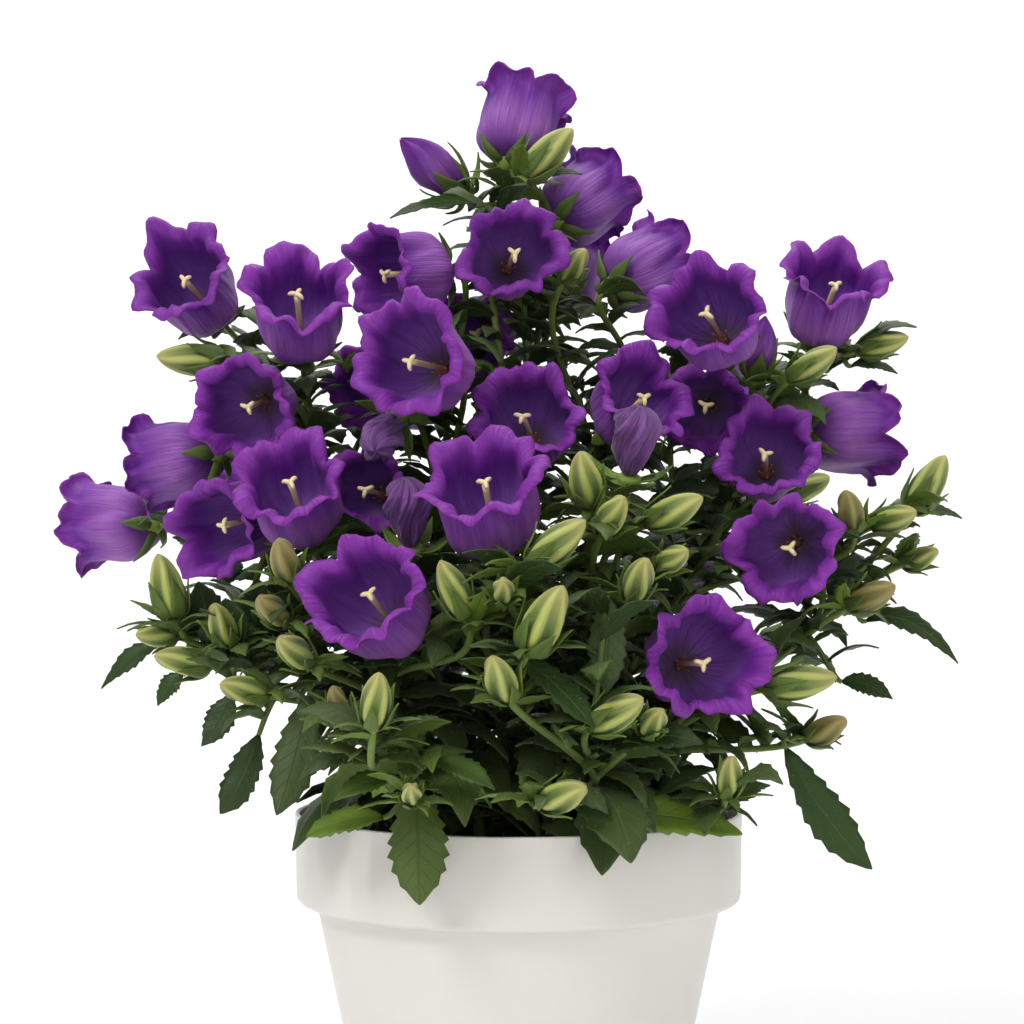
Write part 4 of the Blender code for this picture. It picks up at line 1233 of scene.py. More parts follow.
class Plant:
    """The blooms and leafy stems, each standing where its node stands."""

    def __init__(self, nodes: dict[str, Object], finishes: list[Material]) -> None:
        """Prepare the drafts.

        Args:
            nodes: The frame's node objects by name.
            finishes: The materials, in the order of Finish.
        """
        self.finishes = finishes
        self.around = Surroundings(nodes)
        self.drafts = {stem.name: Draft() for stem in STEMS}
        self.coarse: dict[str, Array] = {}
        self.lines: dict[str, list[Array]] = {stem.name: [] for stem in STEMS}
        self.leaf_count = 0

    def build(self) -> None:
        """Make every piece of the plant."""
        for bloom in BLOOMS:
            self.make_bloom(bloom)
        for stem in STEMS:
            self.lay_stem(stem)
        for bloom in BLOOMS:
            self.lay_calyx(bloom)
        for number, bud in enumerate(BUDS + SMALL_BUDS):
            self.lay_bud(bud, f"{SEED}bud{number}", number < len(BUDS))
        for leaf in BROAD_LEAVES:
            self.lay_broad_leaf(leaf)
        for stem in STEMS:
            self.lay_frame_leaves(stem)
        for leaf in SET_LEAVES:
            self.lay_set_leaf(leaf)
        for bud in BUDS + SMALL_BUDS:
            axis = unit(bud.azimuth, bud.elevation)
            self.lay_rosette(bud.stem, np.array(bud.base, float), axis, bud.size)
        for stem in STEMS:
            self.lay_low_leaves(stem)
            self.lay_bracts(stem)
        LOG.info("leaves: %d", self.leaf_count)
        for stem in STEMS:
            draft = self.drafts[stem.name]
            self.keep(draft, f"stem_{stem.name}", f"leafy_stem_{stem.name}")

    def keep(self, draft: Draft, node: str, name: str) -> None:
        """Make a draft's piece and tie it to the frame.

        Args:
            draft: The gathered piece.
            node: The node that it stands for.
            name: The piece's name.
        """
        settle(draft.object(name, self.finishes), node)

    def seat(self, bloom: Bloom) -> tuple[Array, Array, float]:
        """Where a bloom leaves its calyx, its direction and its length."""
        lengths = {
            Kind.OPEN: BELL_LENGTH * bloom.width / BELL_WIDTH,
            Kind.OPENING: bloom.width * OPENING_SLENDERNESS,
            Kind.WITHERED: WITHERED_LENGTH,
        }
        axis = unit(bloom.azimuth, bloom.elevation)
        length = lengths[bloom.kind]
        return np.array(bloom.mouth, float) - axis * length, axis, length

    def make_bloom(self, bloom: Bloom) -> None:
        """One bloom: its bell and pistil, or its closed bell."""
        seat, axis, length = self.seat(bloom)
        seed = f"{SEED}{bloom.name}"
        matrix = aim(seat, axis, random.Random(seed).uniform(0.0, math.tau / LOBES))
        draft = Draft()
        name = bloom.name.replace("bloom", "bell")
        if bloom.kind is Kind.OPEN:
            grid, places = Bell(bloom.width, seed).grid()
            tone = random.Random(f"{seed}tone").uniform(0.0, 1.0)
            draft.add_tube(moved(grid, matrix), places, Finish.PETAL, tone)
            Pistil(PISTIL_LENGTH * bloom.width / BELL_WIDTH, seed).dress(draft, matrix)
            self.around.block(moved(grid, matrix)[: len(grid) // 2 : 2, ::2])
            self.keep(draft, bloom.name, name)
            return
        withered = bloom.kind is Kind.WITHERED
        ClosedBell(bloom.width, length, seed, withered).dress(draft, matrix)
        self.keep(draft, bloom.name, name)

    def lay_stem(self, stem: Stem) -> None:
        """The main stem from its hole to its top."""
        route = self.around.best(f"stem_{stem.name}", list(stem_routes(stem)), 4)
        self.coarse[stem.name] = route.line(4)
        line = resampled(route.line(24), np.linspace(0.0, 1.0, 30))
        radii = np.linspace(STEM_RADIUS, STEM_TOP_RADIUS, len(line))
        self.add_stalk(stem.name, line, radii, 0.15, 0.5)

    def add_stalk(
        self, stem: str, line: Array, radii: Array, low: float, high: float
    ) -> None:
        """Add a round stalk to a stem's draft, its tone running from low to high."""
        grid = tube_grid(line, radii, STALK_SIDES, STALK_RIBS)
        places = ring_places(len(line), STALK_SIDES, 0.0, low, high)
        self.drafts[stem].add_tube(grid, places, Finish.STEM, 0.5)
        self.lines[stem].append(line)

    def lay_stalk(self, stem: str, end: Array, axis: Array, in_frame: bool) -> None:
        """A stalk that ends at a calyx or a bud.

        Args:
            stem: The stem that it leaves.
            end: Where it ends.
            axis: The direction that it arrives in.
            in_frame: True where the frame has this stalk, so that its course is found there.
        """
        routes = list(stalk_routes(self.coarse[stem], end, axis))
        if in_frame:
            short = [route for route in routes if route.span() <= SHORT_STALK]
            far = [route for route in routes if route.span() > SHORT_STALK]
            groups = [pair for pair in ((short, 2), (far, 3)) if pair[0]]
            chosen = [self.around.best(f"stem_{stem}", *pair) for pair in groups]
            route = self.around.best(f"stem_{stem}", chosen, 3)
        else:

            def cost(one: Route) -> float:
                """The course's span, and more where it rises too little."""
                flat = max(0.0, STALK_RISE - (one.end - one.start)[2])
                return one.span() + FLAT_STALK_COST * flat

            routes.sort(key=cost)
            reach = STALK_RADIUS + 0.3
            clear = (one for one in routes if self.around.clear_line(one.line(8)[3:-1], reach))
            route = next(clear, routes[0])
        line = route.line(14)
        self.add_stalk(stem, line, np.full(len(line), STALK_RADIUS), 0.4, 0.9)

    def lay_calyx(self, bloom: Bloom) -> None:
        """The stalk and calyx that carry a bloom."""
        seat, axis, _ = self.seat(bloom)
        matrix = aim(seat, axis)
        self.lay_stalk(bloom.stem, seat - axis * CALYX_DEPTH, axis, True)

        def misfit(share: float) -> float:
            """How far sepals of this size would end from the mesh."""
            tips = round_grid(SEPAL_REACH * share, full_turn(LOBES), SEPAL_RISE * share)
            return float(self.around.distances(f"stem_{bloom.stem}", moved(tips, matrix)).mean())

        share = min((1.0, 0.8, 0.6, 0.45), key=misfit)
        if bloom.kind is Kind.OPENING:
            draws = random.Random(f"{SEED}{bloom.name}sepals")
            size = (0.92 * bloom.width / 2, 1.3 * bloom.width, 1.15)
            add_sepals(self.drafts[bloom.stem], matrix, size, ClosedBell.outline, draws)
        Calyx(max(share, 0.6), f"{SEED}{bloom.name}").dress(self.drafts[bloom.stem], matrix)

    def lay_bud(self, bud: Bud, seed: str, in_frame: bool) -> None:
        """A bud on its stalk."""
        axis = unit(bud.azimuth, bud.elevation)
        base = np.array(bud.base, float)
        if not in_frame:
            shares = (0.1, 0.5, 0.9)
            middle = np.array([base + axis * (BUD_LENGTH * bud.size * share) for share in shares])
            if not self.around.clear_line(middle, BUD_RADIUS * bud.size * 0.8):
                LOG.info("no room for the small bud at %s", bud.base)
                return
        self.lay_stalk(bud.stem, base, axis, in_frame)
        BudHead(bud.size, seed).dress(self.drafts[bud.stem], aim(base, axis))

    def add_leaf(
        self, stem: str, line: Array, across: Array, blade: Blade, tone: float
    ) -> None:
        """Add a leaf to a stem's draft."""
        draws = random.Random(f"{SEED}leaf{self.leaf_count}")
        tone = min(max(tone + draws.uniform(-0.12, 0.12), 0.0), 1.0)
        blade.dress(self.drafts[stem], line, across, tone, draws)
        self.leaf_count += 1

    def lay_broad_leaf(self, leaf: BroadLeaf) -> None:
        """A broad toothed leaf where the frame has it."""
        stem_line = densely(self.coarse[leaf.stem], 2.0)
        root = stem_line[np.abs(stem_line[:, 2] - leaf.height).argmin()]
        node = f"stem_{leaf.stem}"
        best: tuple[float, Array, float] | None = None
        for offset in (0.0, 10.0, -10.0, 20.0, -20.0, 32.0, -32.0, 46.0, -46.0, 60.0, -60.0):
            for tilt in (0.0, 15.0, -15.0, 30.0):
                azimuth = leaf.azimuth + offset
                line = leaf_line(root, azimuth, leaf.rise + tilt, leaf.droop, leaf.length)
                misfit = float(self.around.distances(node, line[4:]).max())
                if best is None or misfit < best[0]:
                    best = (misfit, line, azimuth)
        blade = Blade(leaf.width * BROAD_WIDENING, BROAD_OUTLINE, 8, 0.14, 0.25, 0.09, 0.6, 4)
        # Painted light and shade: a bright tone below the shade line, a dark one above it.
        tone = 0.8 if leaf.height < SHADE_LINE else 0.25
        line = root + (best[1] - root) * BROAD_STRETCH
        self.add_leaf(leaf.stem, line, unit(best[2] + 90.0, 0.0), blade, tone)

    def lay_frame_leaves(self, stem: Stem) -> None:
        """The smaller leaves that the frame has on a stem."""
        node = f"stem_{stem.name}"
        start = random.Random(f"{SEED}{stem.name}").uniform(0.0, 360.0)
        for number in range(stem.leaves):
            share = 0.30 + 0.60 * number / stem.leaves
            azimuth = start + GOLDEN_ANGLE * number
            length = stem.leaf_length * (1.0 - 0.12 * number)
            root = along(self.coarse[stem.name], share)
            options = []
            for offset in (0.0, 28.0, -28.0, 56.0, -56.0, 90.0, -90.0, 130.0, -130.0, 180.0):
                for rise, droop in ((38.0, 70.0), (20.0, 90.0), (55.0, 60.0), (0.0, 60.0)):
                    for size in (1.0, 0.8):
                        line = leaf_line(root, azimuth + offset, rise, droop, length * size)
                        misfit = float(self.around.distances(node, line[5:9]).max())
                        options.append((misfit, azimuth + offset, line))
            misfit, turn, line = min(options, key=lambda option: option[0])
            if misfit > LEAF_MISFIT:
                continue
            blade = Blade(length * 0.38)
            self.add_leaf(stem.name, line, unit(turn + 90.0, 0.0), blade, 0.35)

    def lay_set_leaf(self, leaf: SetLeaf) -> None:
        """A leaf between two points, on a stalk from the nearest stem or stalk."""
        root = np.array(leaf.root, float)
        tip = np.array(leaf.tip, float)
        lines = np.concatenate(self.lines[leaf.stem])
        origin = lines[np.linalg.norm(lines - root, axis=1).argmin()]
        span = tip - root
        sag = UP * leaf.sag
        line = bezier(root, root + span * 0.3 + sag * 1.6, root + span * 0.7 + sag * 1.2, tip, 12)
        flat = np.array((span[1], -span[0], 0.0))
        across = np.array((1.0, 0.0, 0.0))
        if np.linalg.norm(flat) > 0.4 * np.linalg.norm(span):
            lean = math.radians(leaf.roll) * (1.0 if flat[1] > 0 else -1.0)
            across = normalised(flat) * math.cos(lean) + UP * math.sin(lean)
        reach = float(np.linalg.norm(root - origin))
        if reach > 2.0:
            leave = origin + (root - origin) * 0.4 + UP * reach * 0.1
            bow = bezier(origin, leave, root - (line[1] - root) * 1.5, root, 8)
            self.add_stalk(leaf.stem, bow, np.linspace(1.1, 0.9, 9), 0.3, 0.6)
        outline = BROAD_OUTLINE if leaf.width > 11 else Blade.outline
        blade = Blade(leaf.width, outline, 8, 0.15, 0.22, 0.1, 0.55, 3)
        self.add_leaf(leaf.stem, line, across, blade, leaf.tone)

    def lay_rosette(self, stem: str, base: Array, axis: Array, size: float) -> None:
        """The bright narrow leaves that stand like a star under a bud.

        Args:
            stem: The stem that carries the bud.
            base: The bud's base.
            axis: The bud's direction.
            size: The bud's size beside a full one.
        """
        draws = random.Random(f"{SEED}rosette{base.tolist()}")
        start = draws.uniform(0.0, 360.0)
        for number in range(6):
            turn = start + 60.0 * number + draws.uniform(-14.0, 14.0)
            length = draws.uniform(15.0, 24.0) * (0.6 + 0.4 * size)
            rise = draws.uniform(15.0, 60.0)
            droop = draws.uniform(30.0, 80.0)
            roll = draws.uniform(-30.0, 30.0)
            root = base - axis * draws.uniform(3.0, 6.0)
            tone = draws.uniform(0.7, 0.95)
            self.find_room(stem, root, (turn, rise, droop, roll), (length, length * 0.3), tone)

    def lay_low_leaves(self, stem: Stem) -> None:
        """The dense leaves of a stem, longest near the soil."""
        draws = random.Random(f"{SEED}low{stem.name}")
        fresh = YOUNG_TONE if stem.name == FRESH_STEM else 0.0
        line = densely(self.coarse[stem.name], 1.5)
        turn = draws.uniform(0.0, 360.0)
        for height in np.arange(LOWEST_LEAF, stem.top[2] - 3.0, LEAF_SPACING):
            turn += GOLDEN_ANGLE
            root = line[np.abs(line[:, 2] - height).argmin()]
            low = max(0.0, min(1.0, (225.0 - height) / 100.0))
            length = 28.0 + 24.0 * low + draws.uniform(-5.0, 5.0)
            width = length * draws.uniform(0.38, 0.46)
            droop = draws.uniform(80.0, 135.0)
            roll = draws.uniform(-40.0, 40.0)
            rise = draws.uniform(34.0, 62.0) - 14.0 * low
            tone = fresh + 0.05 + 0.3 * (1.0 - low)
            self.find_room(stem.name, root, (turn, rise, droop, roll), (length, width), tone)

    def lay_bracts(self, stem: Stem) -> None:
        """The leaves along the stalks of a stem."""
        draws = random.Random(f"{SEED}bract{stem.name}")
        fresh = YOUNG_TONE if stem.name == FRESH_STEM else 0.0
        for stalk in list(self.lines[stem.name])[1:]:
            length = line_length(stalk)
            turn = draws.uniform(0.0, 360.0)
            for place in np.arange(4.0, length - 3.0, BRACT_SPACING):
                turn += GOLDEN_ANGLE
                root = resampled(stalk, np.array([place / length]))[0]
                size = draws.uniform(17.0, 31.0)
                width = size * draws.uniform(0.34, 0.42)
                rise = draws.uniform(35.0, 70.0)
                droop = draws.uniform(60.0, 120.0)
                roll = draws.uniform(-40.0, 40.0)
                tone = fresh + draws.uniform(0.15, 0.6)
                self.find_room(stem.name, root, (turn, rise, droop, roll), (size, width), tone)

    def find_room(
        self,
        stem: str,
        root: Array,
        bend: tuple[float, float, float, float],
        size: tuple[float, float],
        tone: float,
    ) -> None:
        """Add a leaf where it is wanted, or turned aside or smaller where that place is taken.

        Args:
            stem: The stem that it grows on.
            root: Its root.
            bend: Its azimuth, rise, droop and roll.
            size: Its length and width.
            tone: 0 for an old dark leaf to 1 for a young bright one.
        """
        azimuth, rise, droop, roll = bend
        length, width = size
        teeth, columns = (7, 3) if length > LONG_LEAF else (5, 2)
        for share, offset in TRIES:
            line = leaf_line(root, azimuth + offset, rise, droop, length * share)
            across = rolled(azimuth + offset, roll)
            if self.around.try_leaf(line, across, width * share, Blade.outline):
                blade = Blade(width * share, teeth=teeth, tooth=0.17, wave=0.12, columns=columns)
                self.add_leaf(stem, line, across, blade, tone)
                return


class Wiring:
    """A node tree, with short ways to add and link its nodes."""

    def __init__(self, tree: bpy.types.NodeTree) -> None:
        """Take up a tree."""
        self.tree = tree

    def node(self, kind: str, **options: object) -> Node:
        """Add a node and set its options."""
        made = self.tree.nodes.new(kind)
        for name, value in options.items():
            setattr(made, name, value)
        return made

    def join(self, source: Socket, target: Socket) -> None:
        """Link two sockets."""
        self.tree.links.new(source, target)


class Sketch(Wiring):
    """A short way to write a material's nodes."""

    def __init__(self, name: str) -> None:
        """Start a material with its Principled shader.

        Args:
            name: The material's name.
        """
        self.material = bpy.data.materials.new(name)
        self.material.use_nodes = True
        super().__init__(self.material.node_tree)
        self.shader = self.tree.nodes["Principled BSDF"]

    def feed(self, socket: Socket, value: object) -> None:
        """Link a socket to another, or set it to a number or a colour."""
        if isinstance(value, Socket):
            self.join(value, socket)
        elif isinstance(value, tuple) and len(socket.default_value) == 4:
            socket.default_value = (*value, 1.0)
        else:
            socket.default_value = value

    def place(self) -> list[Socket]:
        """The three surface values of a piece."""
        read = self.node("ShaderNodeAttribute", attribute_name="place")
        split = self.node("ShaderNodeSeparateXYZ")
        self.join(read.outputs["Vector"], split.inputs[0])
        return list(split.outputs)

    def tone(self) -> Socket:
        """The tone of a piece."""
        return self.node("ShaderNodeAttribute", attribute_name="tone").outputs["Fac"]

    def math(self, operation: str, first: object, second: object = 0.0) -> Socket:
        """One step of arithmetic."""
        made = self.node("ShaderNodeMath", operation=operation)
        self.feed(made.inputs[0], first)
        self.feed(made.inputs[1], second)
        return made.outputs[0]

    def plus(self, first: object, second: object) -> Socket:
        """A value and another."""
        return self.math("ADD", first, second)

    def minus(self, first: object, second: object) -> Socket:
        """A value less another."""
        return self.math("SUBTRACT", first, second)

    def times(self, first: object, second: object) -> Socket:
        """A value times another."""
        return self.math("MULTIPLY", first, second)

    def vector(self, x: object, y: object, z: object) -> Socket:
        """A vector from three values."""
        made = self.node("ShaderNodeCombineXYZ")
        for socket, value in zip(made.inputs, (x, y, z)):
            self.feed(socket, value)
        return made.outputs[0]

    def noise(self, scale: float, detail: float = 3.0, vector: Socket | None = None) -> Socket:
        """A noise on Object coordinates, or on a vector of its own."""
        made = self.node("ShaderNodeTexNoise")
        made.inputs["Scale"].default_value = scale
        made.inputs["Detail"].default_value = detail
        where = vector or self.node("ShaderNodeTexCoord").outputs["Object"]
        self.join(where, made.inputs["Vector"])
        return made.outputs["Fac"]

    def streaks(self, detail: float, x: object, y: object, z: object) -> Socket:
        """A noise on surface values, each of which may be scaled."""
        return self.noise(1.0, detail, self.vector(x, y, z))

    def ramp(self, value: object, *stops: tuple[float, Colour]) -> Socket:
        """A colour that runs through stops."""
        made = self.node("ShaderNodeValToRGB")
        self.feed(made.inputs[0], value)
        elements = made.color_ramp.elements
        while len(elements) < len(stops):
            elements.new(1.0)
        for element, (position, colour) in zip(elements, stops):
            element.position = position
            element.color = (*colour, 1.0)
        return made.outputs["Color"]

    def mix(
        self, share: object, first: object, second: object, blend: str = "MIX"
    ) -> Socket:
        """A mix of two colours."""
        made = self.node("ShaderNodeMix", data_type="RGBA", blend_type=blend)
        sockets = {socket.identifier: socket for socket in made.inputs}
        self.feed(sockets["Factor_Float"], share)
        self.feed(sockets["A_Color"], first)
        self.feed(sockets["B_Color"], second)
        return next(socket for socket in made.outputs if socket.identifier == "Result_Color")

    def line(self, value: object, width: float) -> Socket:
        """1 where a value is near 0, and 0 beyond the width."""
        made = self.node("ShaderNodeMapRange", interpolation_type="SMOOTHSTEP")
        self.feed(made.inputs["Value"], self.math("ABSOLUTE", value))
        ends = {"From Min": 0.0, "From Max": width, "To Min": 1.0, "To Max": 0.0}
        for name, end in ends.items():
            made.inputs[name].default_value = end
        return made.outputs[0]

    def bump(self, height: Socket, depth: float, strength: float = 1.0) -> None:
        """Raise the surface by a height, up to a depth in millimetres."""
        made = self.node("ShaderNodeBump")
        made.inputs["Strength"].default_value = strength
        made.inputs["Distance"].default_value = depth * MM
        self.join(height, made.inputs["Height"])
        self.join(made.outputs["Normal"], self.shader.inputs["Normal"])

    def done(self, colour: object, **values: object) -> Material:
        """Set the base colour and the other sockets, and hand over the material."""
        self.feed(self.shader.inputs["Base Color"], colour)
        for name, value in values.items():
            self.feed(self.shader.inputs[name.replace("_", " ")], value)
        return self.material


@dataclass(frozen=True)
class PetalFinish:
    """Velvety violet: deep inside with a paler band low in the tube, partly the petal's own hue and
    partly painted glow of light through the wall; violet outside with a painted highlight band
    round its middle; magenta along the margin.
    """

    throat: Colour = (0.150, 0.105, 0.110)
    deep: Colour = (0.150, 0.018, 0.310)
    # Paler inside colour: partly the petal's own hue, partly painted glow of light shining through
    # the wall.
    pale_inside_and_glow: Colour = (0.320, 0.135, 0.520)
    margin: Colour = (0.265, 0.030, 0.360)
    outside: Colour = (0.180, 0.034, 0.345)
    # Painted highlight: the lighter pale violet band round the middle of the tube's outside.
    painted_highlight: Colour = (0.390, 0.140, 0.500)
    shade: Colour = (0.62, 0.62, 0.72)

    def material(self) -> Material:
        """Build the material."""
        sketch = Sketch("petal_violet")
        across, share, inside = sketch.place()
        tone = sketch.tone()
        streaks = sketch.streaks(4.0, sketch.times(across, 13.0), share, sketch.times(tone, 40.0))
        # Inside, from floor to margin: the paler band low in the tube is partly the petal's own hue
        # and partly painted glow of light through the wall.
        inner = sketch.ramp(
            share,
            (0.0, self.throat),
            (0.07, self.throat),
            (0.2, self.pale_inside_and_glow),
            (0.4, self.pale_inside_and_glow),
            (0.66, self.deep),
            (0.98, self.margin),
        )
        # Outside, from floor to margin: the lighter band round the middle is a painted highlight.
        outer = sketch.ramp(
            share,
            (0.0, self.outside),
            (0.45, self.painted_highlight),
            (0.8, self.outside),
            (1.0, self.margin),
        )
        colour = sketch.mix(inside, outer, inner)
        veined = sketch.mix(sketch.times(streaks, 0.42), colour, self.deep)
        nerves = sketch.streaks(2.0, sketch.times(across, 24.0), share, tone)
        nerve = sketch.line(sketch.minus(nerves, 0.5), 0.035)
        veined = sketch.mix(sketch.times(nerve, 0.35), veined, self.deep)
        rib = sketch.times(sketch.line(across, 0.06), 0.3)
        ribbed = sketch.mix(rib, veined, self.deep)
        shade = sketch.mix(sketch.times(tone, 0.45), ribbed, self.shade, "MULTIPLY")
        relief = sketch.minus(streaks, sketch.times(nerve, 0.35))
        fine = sketch.times(sketch.noise(900.0, 2.0), 0.25)
        sketch.bump(sketch.plus(relief, fine), 0.7, 0.7)
        return sketch.done(
            shade,
            Roughness=0.52,
            Sheen_Weight=0.12,
            Sheen_Roughness=0.4,
            Sheen_Tint=(0.85, 0.45, 0.95),
            Specular_IOR_Level=0.35,
            Subsurface_Weight=0.12,
            Subsurface_Radius=(0.6, 0.25, 0.8),
            Subsurface_Scale=0.002,
        )


@dataclass(frozen=True)
class SpentFinish:
    """Withered petals: dark, papery and finely wrinkled."""

    dark: Colour = (0.050, 0.012, 0.110)
    pale: Colour = (0.270, 0.080, 0.360)

    def material(self) -> Material:
        """Build the material."""
        sketch = Sketch("petal_spent")
        across, share, _ = sketch.place()
        streaks = sketch.streaks(5.0, sketch.times(across, 16.0), sketch.times(share, 3.0), 2.0)
        colour = sketch.ramp(streaks, (0.3, self.dark), (0.7, self.pale))
        sketch.bump(streaks, 0.8, 0.8)
        return sketch.done(colour, Roughness=0.7, Sheen_Weight=0.2)


@dataclass(frozen=True)
class PistilFinish:
    """Cream with an orange-brown foot."""

    foot: Colour = (0.400, 0.210, 0.080)
    cream: Colour = (0.760, 0.560, 0.220)
    top: Colour = (0.850, 0.720, 0.400)

    def material(self) -> Material:
        """Build the material."""
        sketch = Sketch("pistil_cream")
        _, share, _ = sketch.place()
        grains = sketch.noise(2200.0, 3.0)
        stops = ((0.0, self.foot), (0.22, self.foot), (0.5, self.cream), (1.0, self.top))
        colour = sketch.ramp(share, *stops)
        dusted = sketch.mix(sketch.times(grains, 0.3), colour, self.foot)
        sketch.bump(grains, 0.25, 0.6)
        return sketch.done(dusted, Roughness=0.6, Subsurface_Weight=0.1, Subsurface_Scale=0.001)


@dataclass(frozen=True)
class StemFinish:
    """Green stalks, darker and duller towards their foot."""

    old: Colour = (0.024, 0.042, 0.007)
    young: Colour = (0.180, 0.280, 0.024)

    def material(self) -> Material:
        """Build the material."""
        sketch = Sketch("stem_green")
        _, share, _ = sketch.place()
        patches = sketch.noise(160.0, 3.0)
        colour = sketch.ramp(share, (0.0, self.old), (1.0, self.young))
        mottled = sketch.mix(sketch.times(patches, 0.35), colour, self.old)
        sketch.bump(sketch.noise(700.0, 2.0), 0.2, 0.5)
        return sketch.done(mottled, Roughness=0.6, Sheen_Weight=0.15)


@dataclass(frozen=True)
class LeafFinish:
    """Matt toothed leaves: paler veins, lighter undersides, brighter when young, and broad leaves
    painted bright below the shade line and dark above it as painted light and shade.
    """

    old: Colour = (0.011, 0.026, 0.004)
    grown: Colour = (0.030, 0.070, 0.008)
    young: Colour = (0.210, 0.330, 0.030)
    vein: Colour = (0.100, 0.165, 0.030)
    under: Colour = (0.066, 0.100, 0.026)

    def material(self) -> Material:
        """Build the material."""
        sketch = Sketch("leaf_green")
        across, share, upper = sketch.place()
        tone = sketch.tone()
        base = sketch.ramp(tone, (0.0, self.old), (0.4, self.grown), (1.0, self.young))
        patches = sketch.noise(90.0, 4.0)
        base = sketch.mix(sketch.times(patches, 0.5), base, self.old)
        size = sketch.math("ABSOLUTE", across)
        slant = sketch.minus(sketch.times(share, 8.0), sketch.times(size, 1.6))
        beat = sketch.minus(sketch.math("FRACT", slant), 0.5)
        ribs = sketch.line(beat, 0.07)
        middle = sketch.line(across, 0.07)
        veins = sketch.math("MAXIMUM", sketch.times(ribs, 0.45), middle)
        colour = sketch.mix(sketch.times(veins, 0.45), base, self.vein)
        flipped = sketch.minus(1.0, upper)
        colour = sketch.mix(sketch.times(flipped, 0.55), colour, self.under)
        relief = sketch.minus(sketch.times(sketch.noise(420.0, 3.0), 0.6), veins)
        sketch.bump(relief, 0.5, 0.7)
        return sketch.done(
            colour,
            Roughness=0.5,
            Sheen_Weight=0.06,
            Sheen_Roughness=0.5,
            Sheen_Tint=(0.85, 0.95, 0.8),
            Specular_IOR_Level=0.3,
        )


@dataclass(frozen=True)
class BudFinish:
    """Buds: cream-yellow ridges over green, paler towards the tip."""

    green: Colour = (0.080, 0.150, 0.012)
    ridge: Colour = (0.390, 0.450, 0.095)
    tip: Colour = (0.460, 0.430, 0.130)
    brown: Colour = (0.200, 0.120, 0.030)

    def material(self) -> Material:
        """Build the material."""
        sketch = Sketch("bud_ribbed")
        ridge, share, _ = sketch.place()
        tone = sketch.tone()
        streaks = sketch.streaks(4.0, sketch.times(ridge, 9.0), sketch.times(share, 2.5), tone)
        lift = sketch.plus(sketch.times(ridge, 0.75), sketch.times(streaks, 0.45))
        colour = sketch.ramp(lift, (0.5, self.green), (0.92, self.ridge))
        colour = sketch.mix(sketch.math("POWER", share, 3.2), colour, self.tip)
        brown = sketch.times(sketch.math("GREATER_THAN", tone, 0.86), 0.6)
        colour = sketch.mix(brown, colour, self.brown)
        sketch.bump(streaks, 0.6, 0.7)
        return sketch.done(
            colour,
            Roughness=0.5,
            Sheen_Weight=0.2,
            Subsurface_Weight=0.08,
            Subsurface_Scale=0.002,
        )


@dataclass(frozen=True)
class PotFinish:
    """Warm white plastic with a soft satin surface."""

    white: Colour = (0.770, 0.745, 0.690)
    shade: Colour = (0.700, 0.675, 0.620)

    def material(self) -> Material:
        """Build the material."""
        sketch = Sketch("pot_white")
        clouds = sketch.noise(14.0, 3.0)
        colour = sketch.mix(sketch.times(clouds, 0.5), self.white, self.shade)
        grain = sketch.noise(1800.0, 2.0)
        sketch.bump(grain, 0.05, 0.35)
        rough = sketch.plus(0.3, sketch.times(sketch.noise(60.0, 3.0), 0.12))
        return sketch.done(colour, Roughness=rough, Specular_IOR_Level=0.5)


@dataclass(frozen=True)
class SoilFinish:
    """Dark crumbly potting soil."""

    dark: Colour = (0.008, 0.006, 0.004)
    brown: Colour = (0.045, 0.028, 0.016)

    def material(self) -> Material:
        """Build the material."""
        sketch = Sketch("soil_dark")
        crumbs = sketch.noise(380.0, 6.0)
        colour = sketch.ramp(crumbs, (0.35, self.dark), (0.75, self.brown))
        sketch.bump(crumbs, 1.5, 0.9)
        return sketch.done(colour, Roughness=0.95)


@dataclass(frozen=True)
class HairFinish:
    """Fine pale hairs."""

    pale: Colour = (0.260, 0.330, 0.120)
    green: Colour = (0.20, 0.28, 0.10)

    def material(self) -> Material:
        """Build the material."""
        sketch = Sketch("hair_pale")
        colour = sketch.mix(sketch.noise(50.0, 1.0), self.pale, self.green)
        return sketch.done(colour, Roughness=0.6, Sheen_Weight=0.2)


